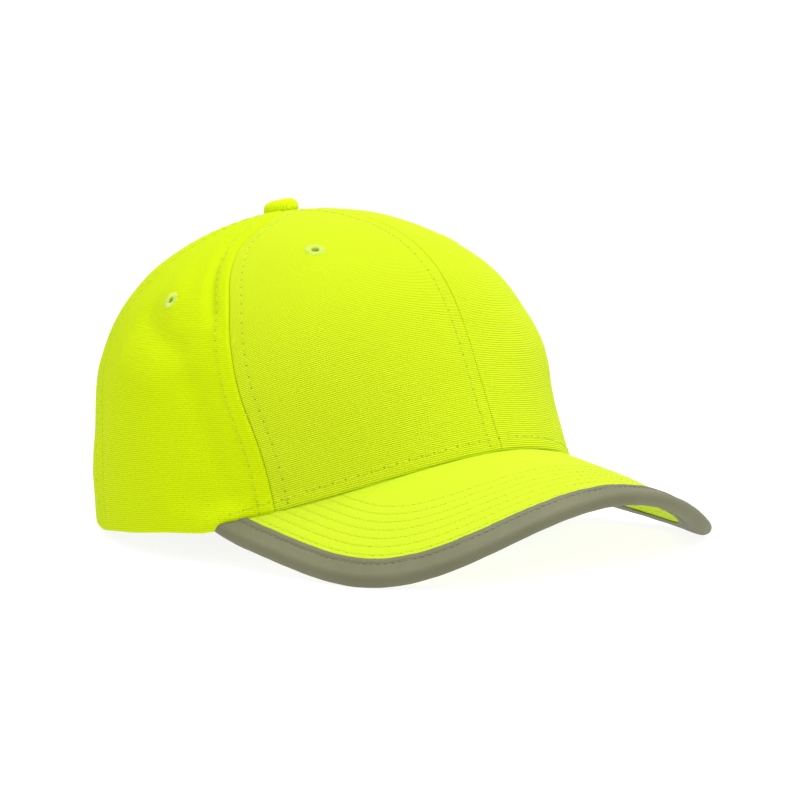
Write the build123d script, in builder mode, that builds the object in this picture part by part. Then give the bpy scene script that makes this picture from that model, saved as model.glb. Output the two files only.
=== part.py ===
from build123d import *
import math
import os

os.makedirs("parts", exist_ok=True)

# ---------------------------------------------------------------- dimensions
# Millimetres and degrees.  Cap frame: rim plane at z = 0, peak towards -Y,
# wearer's left towards +X, height upwards.  Angles run from the front centre,
# positive towards +X.

CROWN_HEIGHT = 111.6          # apex above the rim plane
APEX_SETBACK = 24.4           # apex behind the middle of the rim
# Crown radius about its leaning axis, divided by sqrt(1 - z / CROWN_HEIGHT).
# Rows: z at 0, 1/4, 1/2, 3/4 and 1 of the height.
# Columns: 0 (front), 45, 90 (side), 135 and 180 (rear) degrees.
CROWN_TABLE = (
    (84.91, 80.53, 88.73, 95.20, 109.15),
    (96.83, 94.71, 99.47, 104.61, 114.87),
    (116.43, 115.85, 113.81, 118.13, 125.71),
    (151.08, 139.94, 124.11, 131.48, 141.48),
    (203.56, 156.71, 111.12, 128.53, 154.74),
)
REAR_RISE = 5.0               # rear of the rim above the rim plane
REST_PITCH = 7.76             # nose-up lean when the cap stands on a table
ORIGIN_Y = 12.39              # shift of the cap frame to the row's origin
ORIGIN_Z = 9.75

SIDE_SEAM_TOP = 65.48         # front/side seam angle at the button
SIDE_SEAM_SWAY = (6.38, -1.68)  # its drift towards the front, down to the rim
SEAM_TURN = (33.0, 0.66, 1.3)  # the side seams swing forward near the button
REAR_SEAM = 124.0             # side/rear seam angle
SEAM_GAP = 0.15               # half the gap between neighbouring panels
BUTTON_HOLE = 3.6             # radius left open at the apex

FABRIC = 0.9                  # crown cloth
BUCKRAM = 0.5                 # front stiffener
TAPE = 0.5                    # inside seam tape
TAPE_WIDTH = 14.0

PEAK_START = 84.91            # front of the rim, from the middle
PEAK_HEIGHT = 15.65           # peak top surface there, above the rim plane
PEAK_SLOPE = 17.7             # downward slope of the peak's centre line
PEAK_CURL = (1.025, -0.597)   # bend per 100 mm across, and its easing
PEAK_HALF = 94.8              # half width of the flat peak
PEAK_SETBACK = 37.8           # widest station behind PEAK_START
PEAK_LENGTH = 52.9            # forward reach of the flat peak
PEAK_POWERS = (2.25, 4.28)    # roundness of the outline, across and along
PEAK_TAPER = 2.6              # narrowing of the rear tails
PEAK_TOP = 0.5                # cloth below the binding's surface
COVER = 0.8
BOARD = 2.7
EDGE_THICK = 5.4              # bound edge
BINDING = 0.42                # binding tape
BINDING_WIDTH = 9.0

BAND_HEIGHT = 31.0            # sweatband
BAND_COVER = 0.9
BAND_FOAM = 1.2
BAND_END = 31.0               # angle of each end from the rear centre

ARCH_WIDTH = 74.0             # rear opening
ARCH_HEIGHT = 42.0
ARCH_TAPE = 5.0
STRAP = 20.0                  # strap width
WEB = 1.0
PILE = 0.7                    # hook tape and loop tape

SHELL_INSET = 5.2             # outside of the hard insert, from the cloth face
SHELL = 2.2
PAD = 5.0

BUTTON_D = 13.5
BUTTON_H = 5.0
EYELET_D = 8.6
EYELET_HOLE = 2.4
EYELETS = ((33.5, 0.849), (88.4, 0.732), (150.0, 0.760))

# ------------------------------------------------------------- crown geometry
def crown_c(theta, zf):
    t = math.radians(theta)
    col = []
    for row in CROWN_TABLE:
        s = 0.0
        for k in range(5):
            c = sum(row[j] * math.cos(math.pi * k * j / 4) * (0.5 if j in (0, 4) else 1.0)
                    for j in range(5)) / 2
            s += c * (0.5 if k in (0, 4) else 1.0) * math.cos(k * t)
        col.append(s)
    nodes = (0.0, 0.25, 0.5, 0.75, 1.0)
    out = 0.0
    for i in range(5):
        w = 1.0
        for j in range(5):
            if j != i:
                w *= (zf - nodes[j]) / (nodes[i] - nodes[j])
        out += w * col[i]
    return out


def crown_raw(theta, v):
    zf = 1 - (1 - v) ** 2
    r = (1 - v) * crown_c(theta, zf)
    t = math.radians(theta)
    return (r * math.sin(t), APEX_SETBACK * zf - r * math.cos(t), CROWN_HEIGHT * zf)


def v_of(z):
    return 1 - math.sqrt(max(0.0, 1 - z / CROWN_HEIGHT))


def cross(a, b):
    return (a[1] * b[2] - a[2] * b[1], a[2] * b[0] - a[0] * b[2], a[0] * b[1] - a[1] * b[0])


def unit(a):
    n = math.sqrt(sum(k * k for k in a))
    return tuple(k / n for k in a)


def crown_normal(theta, v):
    e = 0.05
    a = [q - p for p, q in zip(crown_raw(theta - e, v), crown_raw(theta + e, v))]
    h = 1e-3
    b = [q - p for p, q in zip(crown_raw(theta, v - h), crown_raw(theta, v + h))]
    return unit(cross(a, b))


def crown_at(theta, v, inset=0.0):
    p = crown_raw(theta, v)
    if inset:
        n = crown_normal(theta, v)
        p = tuple(a - inset * b for a, b in zip(p, n))
    return p


# -------------------------------------------------------------- peak geometry
def peak_profile():
    out = [(0.0, 0.0, 0.0)]
    x = h = 0.0
    n = 120
    top = 120.0
    for i in range(n):
        s = (i + 0.5) * top / n
        phi = min(PEAK_CURL[0] * s / 100 + PEAK_CURL[1] * (s / 100) ** 3, 1.5)
        x += math.cos(phi) * top / n
        h -= math.sin(phi) * top / n
        out.append(((i + 1) * top / n, x, h))
    return out


PROFILE = peak_profile()


def interp(value, src, dst):
    for a, b in zip(PROFILE, PROFILE[1:]):
        if a[src] <= value <= b[src]:
            f = (value - a[src]) / (b[src] - a[src])
            return a[dst] + f * (b[dst] - a[dst])
    return PROFILE[-1][dst]


SLOPE = math.radians(PEAK_SLOPE)


def peak_point(s, t):
    x = math.copysign(interp(abs(s), 0, 1), s)
    h = interp(abs(s), 0, 2)
    return (x, -PEAK_START - h * math.sin(SLOPE) - t * math.cos(SLOPE),
            PEAK_HEIGHT + h * math.cos(SLOPE) - t * math.sin(SLOPE))


def bent_point(s, t, depth):
    x, h = interp(abs(s), 0, 1), interp(abs(s), 0, 2)
    phi = PEAK_CURL[0] * abs(s) / 100 + PEAK_CURL[1] * (abs(s) / 100) ** 3
    x = math.copysign(x - depth * math.sin(phi), s)
    h -= depth * math.cos(phi)
    return (x, -PEAK_START - h * math.sin(SLOPE) - t * math.cos(SLOPE),
            PEAK_HEIGHT + h * math.cos(SLOPE) - t * math.sin(SLOPE))


def peak_z(x, y):
    h = interp(abs(x), 1, 2)
    t = (-PEAK_START - h * math.sin(SLOPE) - y) / math.cos(SLOPE)
    return PEAK_HEIGHT + h * math.cos(SLOPE) - t * math.sin(SLOPE)


def smooth(x, a, b):
    t = min(1.0, max(0.0, (x - a) / (b - a)))
    return t * t * (3 - 2 * t)


def rim_z(theta, drop=(60, 88)):
    # lower edge of the crown: on the peak in front, level behind it
    a = abs((theta + 180) % 360 - 180)
    rear = REAR_RISE * max(0.0, -math.cos(math.radians(a))) ** 2
    w = smooth(a, *drop)
    z = 0.0
    for _ in range(6):
        p = crown_raw(a, v_of(z))
        d = (peak_z(p[0], p[1]) * (1 - w) - 3 * w) - rear
        z = rear + 0.5 * (d + math.sqrt(d * d + 1.44))
    return z


def side_seam(w):
    q = (1 - w) ** 2
    turn_in = SEAM_TURN[0] * max(0.0, (w - SEAM_TURN[1]) / (1 - SEAM_TURN[1])) ** SEAM_TURN[2]
    return SIDE_SEAM_TOP - SIDE_SEAM_SWAY[0] * q - SIDE_SEAM_SWAY[1] * q * q - turn_in


def rim_v(theta, lift=0.0):
    a = abs((theta + 180) % 360 - 180)
    return v_of(rim_z(theta) + 0.35 * (1 - smooth(a, 60, 90)) + lift)


# ------------------------------------------------------------------ placement
PITCH = math.radians(REST_PITCH)


def place(p):
    x, y, z = p
    return (x, y * math.cos(PITCH) + z * math.sin(PITCH) + ORIGIN_Y,
            -y * math.sin(PITCH) + z * math.cos(PITCH) + ORIGIN_Z)


def turn(d):
    x, y, z = d
    return (x, y * math.cos(PITCH) + z * math.sin(PITCH), -y * math.sin(PITCH) + z * math.cos(PITCH))


def cap_plane(origin, x_dir, z_dir):
    return Plane(origin=place(origin), x_dir=turn(x_dir), z_dir=turn(z_dir))


BASE = cap_plane((0, 0, 0), (1, 0, 0), (0, 0, 1))
REAR = cap_plane((0, 150, 0), (-1, 0, 0), (0, 1, 0))
PEAK = cap_plane((0, -PEAK_START, PEAK_HEIGHT), (1, 0, 0),
                 (0, -math.cos(SLOPE), -math.sin(SLOPE)))


def face_of(grid):
    return Face.make_surface_from_array_of_points(
        [[Vector(*place(p)) for p in row] for row in grid], tol=0.02, min_deg=3, max_deg=5)


def cloth(point, inset, thick, nu=13, nw=15):
    """Face and signed amount for a wall that follows the crown.

    point(u, w) gives (theta, v) for u and w from 0 to 1.
    """
    grid = []
    for i in range(nu):
        row = []
        for j in range(nw):
            th, v = point(i / (nu - 1), j / (nw - 1))
            row.append(crown_at(th, v, inset(th) if callable(inset) else inset))
        grid.append(row)
    f = face_of(grid)
    th, v = point(0.5, 0.5)
    out = Vector(*turn(crown_normal(th, v)))
    mid = Vector(*place(crown_at(th, v, inset(th) if callable(inset) else inset)))
    sign = -1 if f.normal_at(mid).dot(out) > 0 else 1
    return f, sign * thick


def degrees_for(mm, theta, v):
    r = math.hypot(*[a - b for a, b in zip(crown_raw(theta, v)[:2], (0, APEX_SETBACK * (1 - (1 - v) ** 2)))])
    return math.degrees(mm / max(r, 1.0))


def top_w(theta, hole, lift=0.0):
    return 1 - hole / (crown_c(theta, 1.0) * (1 - rim_v(theta, lift)))


def panel_point(left, right, hole=BUTTON_HOLE, gap=SEAM_GAP, lift=0.0):
    def point(u, w):
        mid = 0.5 * (left(0.5) + right(0.5))
        ww = w * top_w(mid, hole, lift)
        a, b = left(ww), right(ww)
        th = a + (b - a) * u
        v = 1 - (1 - rim_v(th, lift)) * (1 - ww)
        g = degrees_for(gap, th, v)
        th = a + g + (b - a - 2 * g) * u
        v = 1 - (1 - rim_v(th, lift)) * (1 - w * top_w(th, hole, lift))
        return th, v
    return point


def mirrored(point):
    return lambda u, w: (lambda r: (-r[0], r[1]))(point(u, w))


zero = lambda w: 0.0
rear_seam = lambda w: REAR_SEAM
back = lambda w: 180.0

FRONT_L = panel_point(zero, side_seam)
SIDE_L = panel_point(side_seam, rear_seam)
REAR_L = panel_point(rear_seam, back)

def band_point(th0, th1, z0, z1):
    """Patch between two angles and two heights; a height may depend on angle."""
    def point(u, w):
        th = th0 + (th1 - th0) * u
        a = z0(th) if callable(z0) else z0
        b = z1(th) if callable(z1) else z1
        return th, v_of(a + (b - a) * w)
    return point


def seam_point(seam, hole=9.0):
    """Strip of tape centred on a seam, tapering towards the button."""
    def point(u, w):
        ww = w * top_w(seam(0.9), hole, 2.0)
        th = seam(ww)
        v = 1 - (1 - rim_v(th, 2.0)) * (1 - ww)
        r = (1 - v) * crown_c(th, 1 - (1 - v) ** 2)
        half = min(TAPE_WIDTH / 2, r * math.sin(math.radians(18)))
        th += degrees_for(half, th, v) * (2 * u - 1)
        return th, 1 - (1 - rim_v(th, 2.0)) * (1 - w * top_w(seam(0.9), hole, 2.0))
    return point


def eyelet_plane(theta, zf):
    v = 1 - math.sqrt(1 - zf)
    return cap_plane(crown_at(theta, v), cross((0, 0, 1), crown_normal(theta, v)), crown_normal(theta, v))


def disc_point(theta, zf, radius):
    """Square patch on the crown, later trimmed to a disc."""
    v0 = 1 - math.sqrt(1 - zf)
    a = degrees_for(radius * 1.2, theta, v0)
    p = crown_raw(theta, v0)
    q = crown_raw(theta, v0 + 0.01)
    dv = 0.01 * radius * 1.2 / math.dist(p, q)
    return lambda u, w: (theta + a * (2 * u - 1), v0 + dv * (2 * w - 1))


# --------------------------------------------------------------- crown panels
with BuildPart() as front_panel_left:
    thicken(*cloth(FRONT_L, 0, FABRIC, 17, 15))
    with BuildSketch(eyelet_plane(*EYELETS[0])):
        Circle(EYELET_HOLE / 2 + 0.35)
    extrude(amount=4, both=True, mode=Mode.SUBTRACT)

with BuildPart() as front_panel_right:
    thicken(*cloth(mirrored(FRONT_L), 0, FABRIC, 17, 15))
    with BuildSketch(eyelet_plane(-EYELETS[0][0], EYELETS[0][1])):
        Circle(EYELET_HOLE / 2 + 0.35)
    extrude(amount=4, both=True, mode=Mode.SUBTRACT)

with BuildPart() as side_panel_left:
    thicken(*cloth(SIDE_L, 0, FABRIC, 17, 15))
    with BuildSketch(eyelet_plane(*EYELETS[1])):
        Circle(EYELET_HOLE / 2 + 0.35)
    extrude(amount=4, both=True, mode=Mode.SUBTRACT)

with BuildPart() as side_panel_right:
    thicken(*cloth(mirrored(SIDE_L), 0, FABRIC, 17, 15))
    with BuildSketch(eyelet_plane(-EYELETS[1][0], EYELETS[1][1])):
        Circle(EYELET_HOLE / 2 + 0.35)
    extrude(amount=4, both=True, mode=Mode.SUBTRACT)

with BuildSketch(REAR) as arch:
    with Locations((0, REAR_RISE)):
        Ellipse(ARCH_WIDTH / 2, ARCH_HEIGHT)
    with Locations((0, REAR_RISE - 15)):
        Rectangle(ARCH_WIDTH, 30)

with BuildSketch(REAR) as arch_outer:
    with Locations((0, REAR_RISE)):
        Ellipse(ARCH_WIDTH / 2 + ARCH_TAPE, ARCH_HEIGHT + ARCH_TAPE)
    with Locations((0, REAR_RISE - 15)):
        Rectangle(ARCH_WIDTH + 2 * ARCH_TAPE, 30)

with BuildSketch(REAR) as arch_inner:
    with Locations((0, REAR_RISE)):
        Ellipse(ARCH_WIDTH / 2 - 0.7, ARCH_HEIGHT - 0.7)
    with Locations((0, REAR_RISE - 15)):
        Rectangle(ARCH_WIDTH - 1.4, 30)

with BuildPart() as rear_panel_left:
    thicken(*cloth(REAR_L, 0, FABRIC, 17, 15))
    with BuildSketch(eyelet_plane(*EYELETS[2])):
        Circle(EYELET_HOLE / 2 + 0.35)
    extrude(amount=4, both=True, mode=Mode.SUBTRACT)
    extrude(arch.sketch, amount=-90, mode=Mode.SUBTRACT)

with BuildPart() as rear_panel_right:
    thicken(*cloth(mirrored(REAR_L), 0, FABRIC, 17, 15))
    with BuildSketch(eyelet_plane(-EYELETS[2][0], EYELETS[2][1])):
        Circle(EYELET_HOLE / 2 + 0.35)
    extrude(amount=4, both=True, mode=Mode.SUBTRACT)
    extrude(arch.sketch, amount=-90, mode=Mode.SUBTRACT)

# Stiff buckram behind the two front panels.
BUCKRAM_L = panel_point(zero, side_seam, hole=14, gap=2.5, lift=2.0)
with BuildPart() as front_buckram_left:
    thicken(*cloth(BUCKRAM_L, FABRIC + 0.08, BUCKRAM))
    with BuildSketch(eyelet_plane(*EYELETS[0])):
        Circle(EYELET_HOLE / 2 + 0.35)
    extrude(amount=4, both=True, mode=Mode.SUBTRACT)

with BuildPart() as front_buckram_right:
    thicken(*cloth(mirrored(BUCKRAM_L), FABRIC + 0.08, BUCKRAM))
    with BuildSketch(eyelet_plane(-EYELETS[0][0], EYELETS[0][1])):
        Circle(EYELET_HOLE / 2 + 0.35)
    extrude(amount=4, both=True, mode=Mode.SUBTRACT)

# Inside tapes over the six seams.
TAPE_INSET = FABRIC + BUCKRAM + 0.2
with BuildPart() as front_seam_tape:
    thicken(*cloth(seam_point(zero), TAPE_INSET, TAPE, 7, 15))
with BuildPart() as front_side_seam_tape_left:
    thicken(*cloth(seam_point(side_seam), TAPE_INSET, TAPE, 7, 15))
with BuildPart() as front_side_seam_tape_right:
    thicken(*cloth(mirrored(seam_point(side_seam)), TAPE_INSET, TAPE, 7, 15))
with BuildPart() as rear_side_seam_tape_left:
    thicken(*cloth(seam_point(rear_seam), TAPE_INSET, TAPE, 7, 15))
with BuildPart() as rear_side_seam_tape_right:
    thicken(*cloth(mirrored(seam_point(rear_seam)), TAPE_INSET, TAPE, 7, 15))
with BuildPart() as rear_seam_tape:
    thicken(*cloth(seam_point(back), TAPE_INSET, TAPE, 7, 15))
    extrude(arch.sketch, amount=-90, mode=Mode.SUBTRACT)

# ---------------------------------------------------------------- top button
APEX = (0, APEX_SETBACK, CROWN_HEIGHT)
BUTTON_AXIS = cap_plane(APEX, (1, 0, 0), (0, -1, 0))
R = BUTTON_D / 2
with BuildPart() as button_cover:
    with BuildSketch(BUTTON_AXIS):
        with BuildLine():
            Line((0, BUTTON_H + 0.1), (0, BUTTON_H - 0.6))
            Spline((0, BUTTON_H - 0.6), (R * 0.55, BUTTON_H * 0.80), (R - 0.7, 1.5), (R - 0.75, 0.1),
                   tangents=((1, 0), (-0.1, -1)))
            Line((R - 0.75, 0.1), (R - 0.2, 0.1))
            Spline((R - 0.2, 0.1), (R, 1.4), (R * 0.62, BUTTON_H * 0.9), (0, BUTTON_H + 0.1),
                   tangents=((0.3, 1), (-1, 0)))
        make_face()
    revolve(axis=Axis(BUTTON_AXIS.origin, turn((0, 0, 1))))

with BuildPart() as button_core:
    with BuildSketch(BUTTON_AXIS):
        with BuildLine():
            Line((0, BUTTON_H - 0.75), (0, -2.4))
            Line((0, -2.4), (1.5, -2.4))
            Line((1.5, -2.4), (1.5, 0.12))
            Line((1.5, 0.12), (R - 1.0, 0.12))
            Spline((R - 1.0, 0.12), (R - 1.0, 1.4), (R * 0.52, BUTTON_H * 0.72), (0, BUTTON_H - 0.75),
                   tangents=((0.1, 1), (-1, 0)))
        make_face()
    revolve(axis=Axis(BUTTON_AXIS.origin, turn((0, 0, 1))))

with BuildPart() as button_washer:
    with BuildSketch(cap_plane((0, APEX_SETBACK, CROWN_HEIGHT - 2.3), (1, 0, 0), (0, 0, 1))):
        Circle(7.2)
        Circle(1.52, mode=Mode.SUBTRACT)
    extrude(amount=0.8)
    fillet(button_washer.edges().filter_by(GeomType.CIRCLE).sort_by(SortBy.RADIUS)[-2:], 0.3)


# ------------------------------------------------------------ eyelet stitches
def eyelet_rings(theta, zf, depth):
    pl = eyelet_plane(theta, zf)
    with BuildPart() as ring:
        with BuildSketch(pl.offset(0.18)):
            Circle(EYELET_D / 2)
            Circle(EYELET_HOLE / 2, mode=Mode.SUBTRACT)
        extrude(amount=0.6)
        fillet(ring.edges().filter_by(GeomType.CIRCLE).sort_by(Axis(pl.origin, pl.z_dir))[-2:], 0.25)
        with BuildSketch(pl.offset(0.2)):
            Circle(EYELET_HOLE / 2 + 0.25)
            Circle(EYELET_HOLE / 2, mode=Mode.SUBTRACT)
        extrude(amount=-depth - 0.6)
        with BuildSketch(pl.offset(-depth - 0.55)):
            Circle(EYELET_D / 2 - 0.4)
            Circle(EYELET_HOLE / 2, mode=Mode.SUBTRACT)
        extrude(amount=0.4)
    return ring.part


with BuildPart() as front_eyelets:
    add(eyelet_rings(EYELETS[0][0], EYELETS[0][1], FABRIC + BUCKRAM + 0.15))
    add(eyelet_rings(-EYELETS[0][0], EYELETS[0][1], FABRIC + BUCKRAM + 0.15))
with BuildPart() as side_eyelets:
    add(eyelet_rings(EYELETS[1][0], EYELETS[1][1], FABRIC + 0.12))
    add(eyelet_rings(-EYELETS[1][0], EYELETS[1][1], FABRIC + 0.12))
with BuildPart() as rear_eyelets:
    add(eyelet_rings(EYELETS[2][0], EYELETS[2][1], FABRIC + 0.12))
    add(eyelet_rings(-EYELETS[2][0], EYELETS[2][1], FABRIC + 0.12))

# ----------------------------------------------------------------------- peak
def flat_outline(inset):
    w = PEAK_HALF - inset
    ly = PEAK_LENGTH + PEAK_SETBACK - inset
    pts = []
    for i in range(1201):
        a = math.radians(-90 + 180 * i / 1200)
        s, c = math.sin(a), max(math.cos(a), 0.0)
        pts.append((math.copysign(w * abs(s) ** (2 / PEAK_POWERS[0]), s),
                    -PEAK_SETBACK + ly * c ** (2 / PEAK_POWERS[1])))
    tail = [(w - PEAK_TAPER * (i / 30) ** 2, -PEAK_SETBACK - 26.0 * i / 30) for i in range(1, 46)]
    return [(-x, y) for x, y in tail[::-1]] + pts + tail


def resample(pts, step):
    out = [pts[0]]
    total = sum(math.dist(a, b) for a, b in zip(pts, pts[1:]))
    n = max(2, round(total / step))
    want, run = total / n, 0.0
    k = 1
    for a, b in zip(pts, pts[1:]):
        d = math.dist(a, b)
        while run + d >= want * k - 1e-9 and k < n:
            f = (want * k - run) / d
            out.append((a[0] + f * (b[0] - a[0]), a[1] + f * (b[1] - a[1])))
            k += 1
        run += d
    out.append(pts[-1])
    return out


def root_curve(extra=0.0):
    """Plan curve of the peak's inner edge: under the crown in front, beside it at the ends."""
    out = []
    for i in range(-82, 83, 2):
        a = abs(i)
        under = 1 - smooth(a, 54, 61)
        z = rim_z(a)
        p = crown_at(i, v_of(max(-3.0, z - 5.5 * (1 - under))), 2.1 * under - (0.35 + extra) * (1 - under))
        out.append((p[0], p[1]))
    return out


def plan_region(inset, depth, extra=0.0, end=1.0):
    """Outer and inner plan curves of the peak, closed where they meet at the ends."""
    outer = [bent_point(s, t, depth)[:2] for s, t in flat_outline(inset)]
    inner = root_curve(extra)

    def inner_x(y):
        for a, b in zip(inner[len(inner) // 2:], inner[len(inner) // 2 + 1:]):
            if a[1] <= y <= b[1]:
                return a[0] + (y - a[1]) / (b[1] - a[1]) * (b[0] - a[0])
        return 1e9
    half = [p for p in outer[len(outer) // 2:] if p[1] < inner[-1][1]]
    keep = []
    for p in half:
        if p[1] > -60 and p[0] - inner_x(p[1]) < end:
            break
        keep.append(p)
    y_end = keep[-1][1]
    outer_pts = [(-x, y) for x, y in keep[::-1]] + keep[1:]
    inner_half = [p for p in inner[len(inner) // 2:] if p[1] < y_end - 1.0] + [(inner_x(y_end), y_end)]
    inner_pts = [(-x, y) for x, y in inner_half[::-1]] + inner_half[1:]
    return resample(outer_pts, 7.0), resample(inner_pts, 6.0)


def plan_face(inset, depth, extra=0.0, end=1.0):
    outer, inner = plan_region(inset, depth, extra, end)
    with BuildSketch(BASE) as sk:
        with BuildLine():
            Spline(*outer)
            Line(outer[-1], inner[-1])
            Spline(*inner)
            Line(inner[0], outer[0])
        make_face()
    return sk.sketch


def bent_slab(top, bottom, reach=104.0):
    """Bent sheet between two depths below the bound surface of the peak."""
    def side(depth):
        pts = []
        for i in range(0, 27):
            s = reach * i / 26
            x, h = interp(s, 0, 1), interp(s, 0, 2)
            phi = PEAK_CURL[0] * s / 100 + PEAK_CURL[1] * (s / 100) ** 3
            pts.append((x - depth * math.sin(phi), h - depth * math.cos(phi)))
        return [(-x, y) for x, y in pts[:0:-1]] + pts
    a, b = side(top), side(bottom)
    with BuildPart() as slab:
        with BuildSketch(PEAK.offset(-115)):
            with BuildLine():
                Spline(*a)
                Line(a[-1], b[-1])
                Spline(*b)
                Line(b[0], a[0])
            make_face()
        extrude(amount=185)
    return slab.part


D0 = PEAK_TOP
D1 = D0 + COVER
D2 = D1 + 0.05
D3 = D2 + BOARD
D4 = D3 + 0.05
D5 = D4 + COVER

with BuildPart() as peak_top_cover:
    add(bent_slab(D0, D1))
    extrude(plan_face(2.5, (D0 + D1) / 2, 0.1, 2.0), amount=90, both=True, mode=Mode.INTERSECT)

with BuildPart() as peak_board:
    add(bent_slab(D2, D3))
    extrude(plan_face(2.1, (D2 + D3) / 2, 0.1, 3.0), amount=90, both=True, mode=Mode.INTERSECT)

with BuildPart() as peak_under_cover:
    add(bent_slab(D4, D5))
    extrude(plan_face(2.7, (D4 + D5) / 2, 0.1, 2.0), amount=90, both=True, mode=Mode.INTERSECT)

def binding_grid():
    """Outside of the bound edge: over the top, round the rim and under."""
    r = EDGE_THICK / 2
    section = [(BINDING_WIDTH - (BINDING_WIDTH - r) * k / 3, 0.0) for k in range(4)]
    section += [(r - r * math.sin(math.radians(a)), r - r * math.cos(math.radians(a)))
                for a in (22.5, 45, 67.5, 90, 112.5, 135, 157.5)]
    section += [(r + (BINDING_WIDTH - r) * k / 3, EDGE_THICK) for k in range(4)]
    full = flat_outline(0)
    run = [0.0]
    for p, q in zip(full, full[1:]):
        run.append(run[-1] + math.dist(p, q))
    n = 56
    picks = [min(range(len(run)), key=lambda i: abs(run[i] - run[-1] * k / n)) for k in range(n + 1)]
    curves = [flat_outline(inset) for inset, _ in section]
    return [[bent_point(c[i][0], c[i][1], d) for c, (_, d) in zip(curves, section)] for i in picks]


with BuildPart() as peak_binding:
    edge_face = face_of(binding_grid())
    nose = Vector(*place(bent_point(0, PEAK_LENGTH, EDGE_THICK / 2)))
    facing = edge_face.normal_at(nose).dot(Vector(*turn((0, -1, 0))))
    thicken(edge_face, -BINDING if facing > 0 else BINDING)
    extrude(plan_face(-2.5, EDGE_THICK / 2, 0.0, 0.8), amount=90, both=True, mode=Mode.INTERSECT)

# ------------------------------------------------------------------ sweatband
BAND_INSET = TAPE_INSET + TAPE + 0.2
band_low = lambda th: rim_z(th, (50, 95)) + 1.5
band_high = lambda th: band_low(th) + BAND_HEIGHT
BAND = band_point(0.06, 180 - BAND_END, band_low, band_high)
with BuildPart() as sweatband_foam:
    thicken(*cloth(BAND, BAND_INSET, BAND_FOAM, 21, 7))
    thicken(*cloth(mirrored(BAND), BAND_INSET, BAND_FOAM, 21, 7))
with BuildPart() as sweatband_cover:
    thicken(*cloth(BAND, BAND_INSET + BAND_FOAM + 0.05, BAND_COVER, 21, 7))
    thicken(*cloth(mirrored(BAND), BAND_INSET + BAND_FOAM + 0.05, BAND_COVER, 21, 7))

# ------------------------------------------------------- rear arch and straps
rim_edge = lambda th: rim_z(th)
ARCH_PATCH = band_point(152, 208, rim_edge, REAR_RISE + ARCH_HEIGHT + 14)
with BuildPart() as arch_channel:
    thicken(*cloth(ARCH_PATCH, -0.16, FABRIC + 0.32, 15, 11))
    extrude(arch.sketch, amount=-90, mode=Mode.SUBTRACT)

with BuildPart() as arch_binding:
    thicken(*cloth(ARCH_PATCH, -0.65, FABRIC + 1.3, 15, 11))
    extrude(arch_outer.sketch, amount=-90, mode=Mode.INTERSECT)
    extrude(arch_inner.sketch, amount=-90, mode=Mode.SUBTRACT)
    add(arch_channel.part, mode=Mode.SUBTRACT)

STRAP_LOW = REAR_RISE + 1.6
STRAP_HIGH = STRAP_LOW + STRAP
WEB_IN = 2.7
with BuildPart() as loop_strap_web:
    thicken(*cloth(band_point(149.4, 187, STRAP_LOW, STRAP_HIGH), WEB_IN, WEB, 13, 4))
with BuildPart() as loop_tape:
    thicken(*cloth(band_point(167, 186, STRAP_LOW + 1, STRAP_HIGH - 1), WEB_IN - 0.05, -PILE, 9, 4))
with BuildPart() as loop_strap_anchor:
    thicken(*cloth(band_point(149.4, 154.3, STRAP_LOW, STRAP_HIGH), FABRIC + 0.1, WEB_IN - FABRIC - 0.15, 5, 4))

swing_inset = lambda th: -0.1 + 1.8 * smooth(th, 188, 195.5)
with BuildPart() as hook_strap_web:
    thicken(*cloth(band_point(167, 197, STRAP_LOW, STRAP_HIGH), swing_inset, WEB, 25, 4))
with BuildPart() as hook_tape:
    thicken(*cloth(band_point(167.5, 185, STRAP_LOW + 1, STRAP_HIGH - 1), WEB - 0.05, PILE, 9, 4))
with BuildPart() as hook_strap_anchor:
    thicken(*cloth(band_point(197.6, 209, STRAP_LOW, STRAP_HIGH), 1.7, WEB, 7, 4))

# --------------------------------------------------------- hard shell insert
shell_low = lambda th: 38 + 12 * max(0.0, math.cos(math.radians(th))) ** 2 + 12 * max(0.0, -math.cos(math.radians(th))) ** 2


def dome_point(th0, th1, low, hole, angle_step=0.0):
    def point(u, w):
        th = th0 + (th1 - th0) * u
        v0 = v_of(low(th))
        v1 = 1 - hole / crown_c(th, 1.0)
        return th, v0 + (v1 - v0) * w
    return point


with BuildPart() as bump_shell:
    thicken(*cloth(dome_point(-4, 184, shell_low, 9.5), SHELL_INSET, SHELL, 25, 13))
    split(bisect_by=Plane.YZ, keep=Keep.TOP)
    mirror(about=Plane.YZ)
    with BuildSketch(cap_plane((0, 0, 0), (0, 1, 0), (1, 0, 0))):
        for y, z, a in ((-8, 78, 20), (22, 82, 0), (52, 78, -20)):
            with Locations(Location((y, z), 90 + a)):
                SlotOverall(26, 6)
    extrude(amount=100, both=True, mode=Mode.SUBTRACT)

PAD_INSET = SHELL_INSET + SHELL + 0.1
ring_low = lambda th: CROWN_HEIGHT * (1 - (44 / crown_c(th, 0.9)) ** 2)
with BuildPart() as crown_pad:
    thicken(*cloth(dome_point(-6, 186, ring_low, 11), PAD_INSET, PAD, 21, 6))
    split(bisect_by=Plane.YZ, keep=Keep.TOP)
    mirror(about=Plane.YZ)
pad_low = lambda th: shell_low(th) + 2.5
pad_high = lambda th: shell_low(th) + 30
with BuildPart() as front_pad:
    thicken(*cloth(band_point(-38, 38, pad_low, pad_high), PAD_INSET, PAD, 13, 7))
with BuildPart() as side_pad_left:
    thicken(*cloth(band_point(52, 118, pad_low, pad_high), PAD_INSET, PAD, 11, 7))
with BuildPart() as side_pad_right:
    thicken(*cloth(band_point(-118, -52, pad_low, pad_high), PAD_INSET, PAD, 11, 7))
with BuildPart() as rear_pad:
    thicken(*cloth(band_point(142, 218, pad_low, pad_high), PAD_INSET, PAD, 13, 7))

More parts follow.
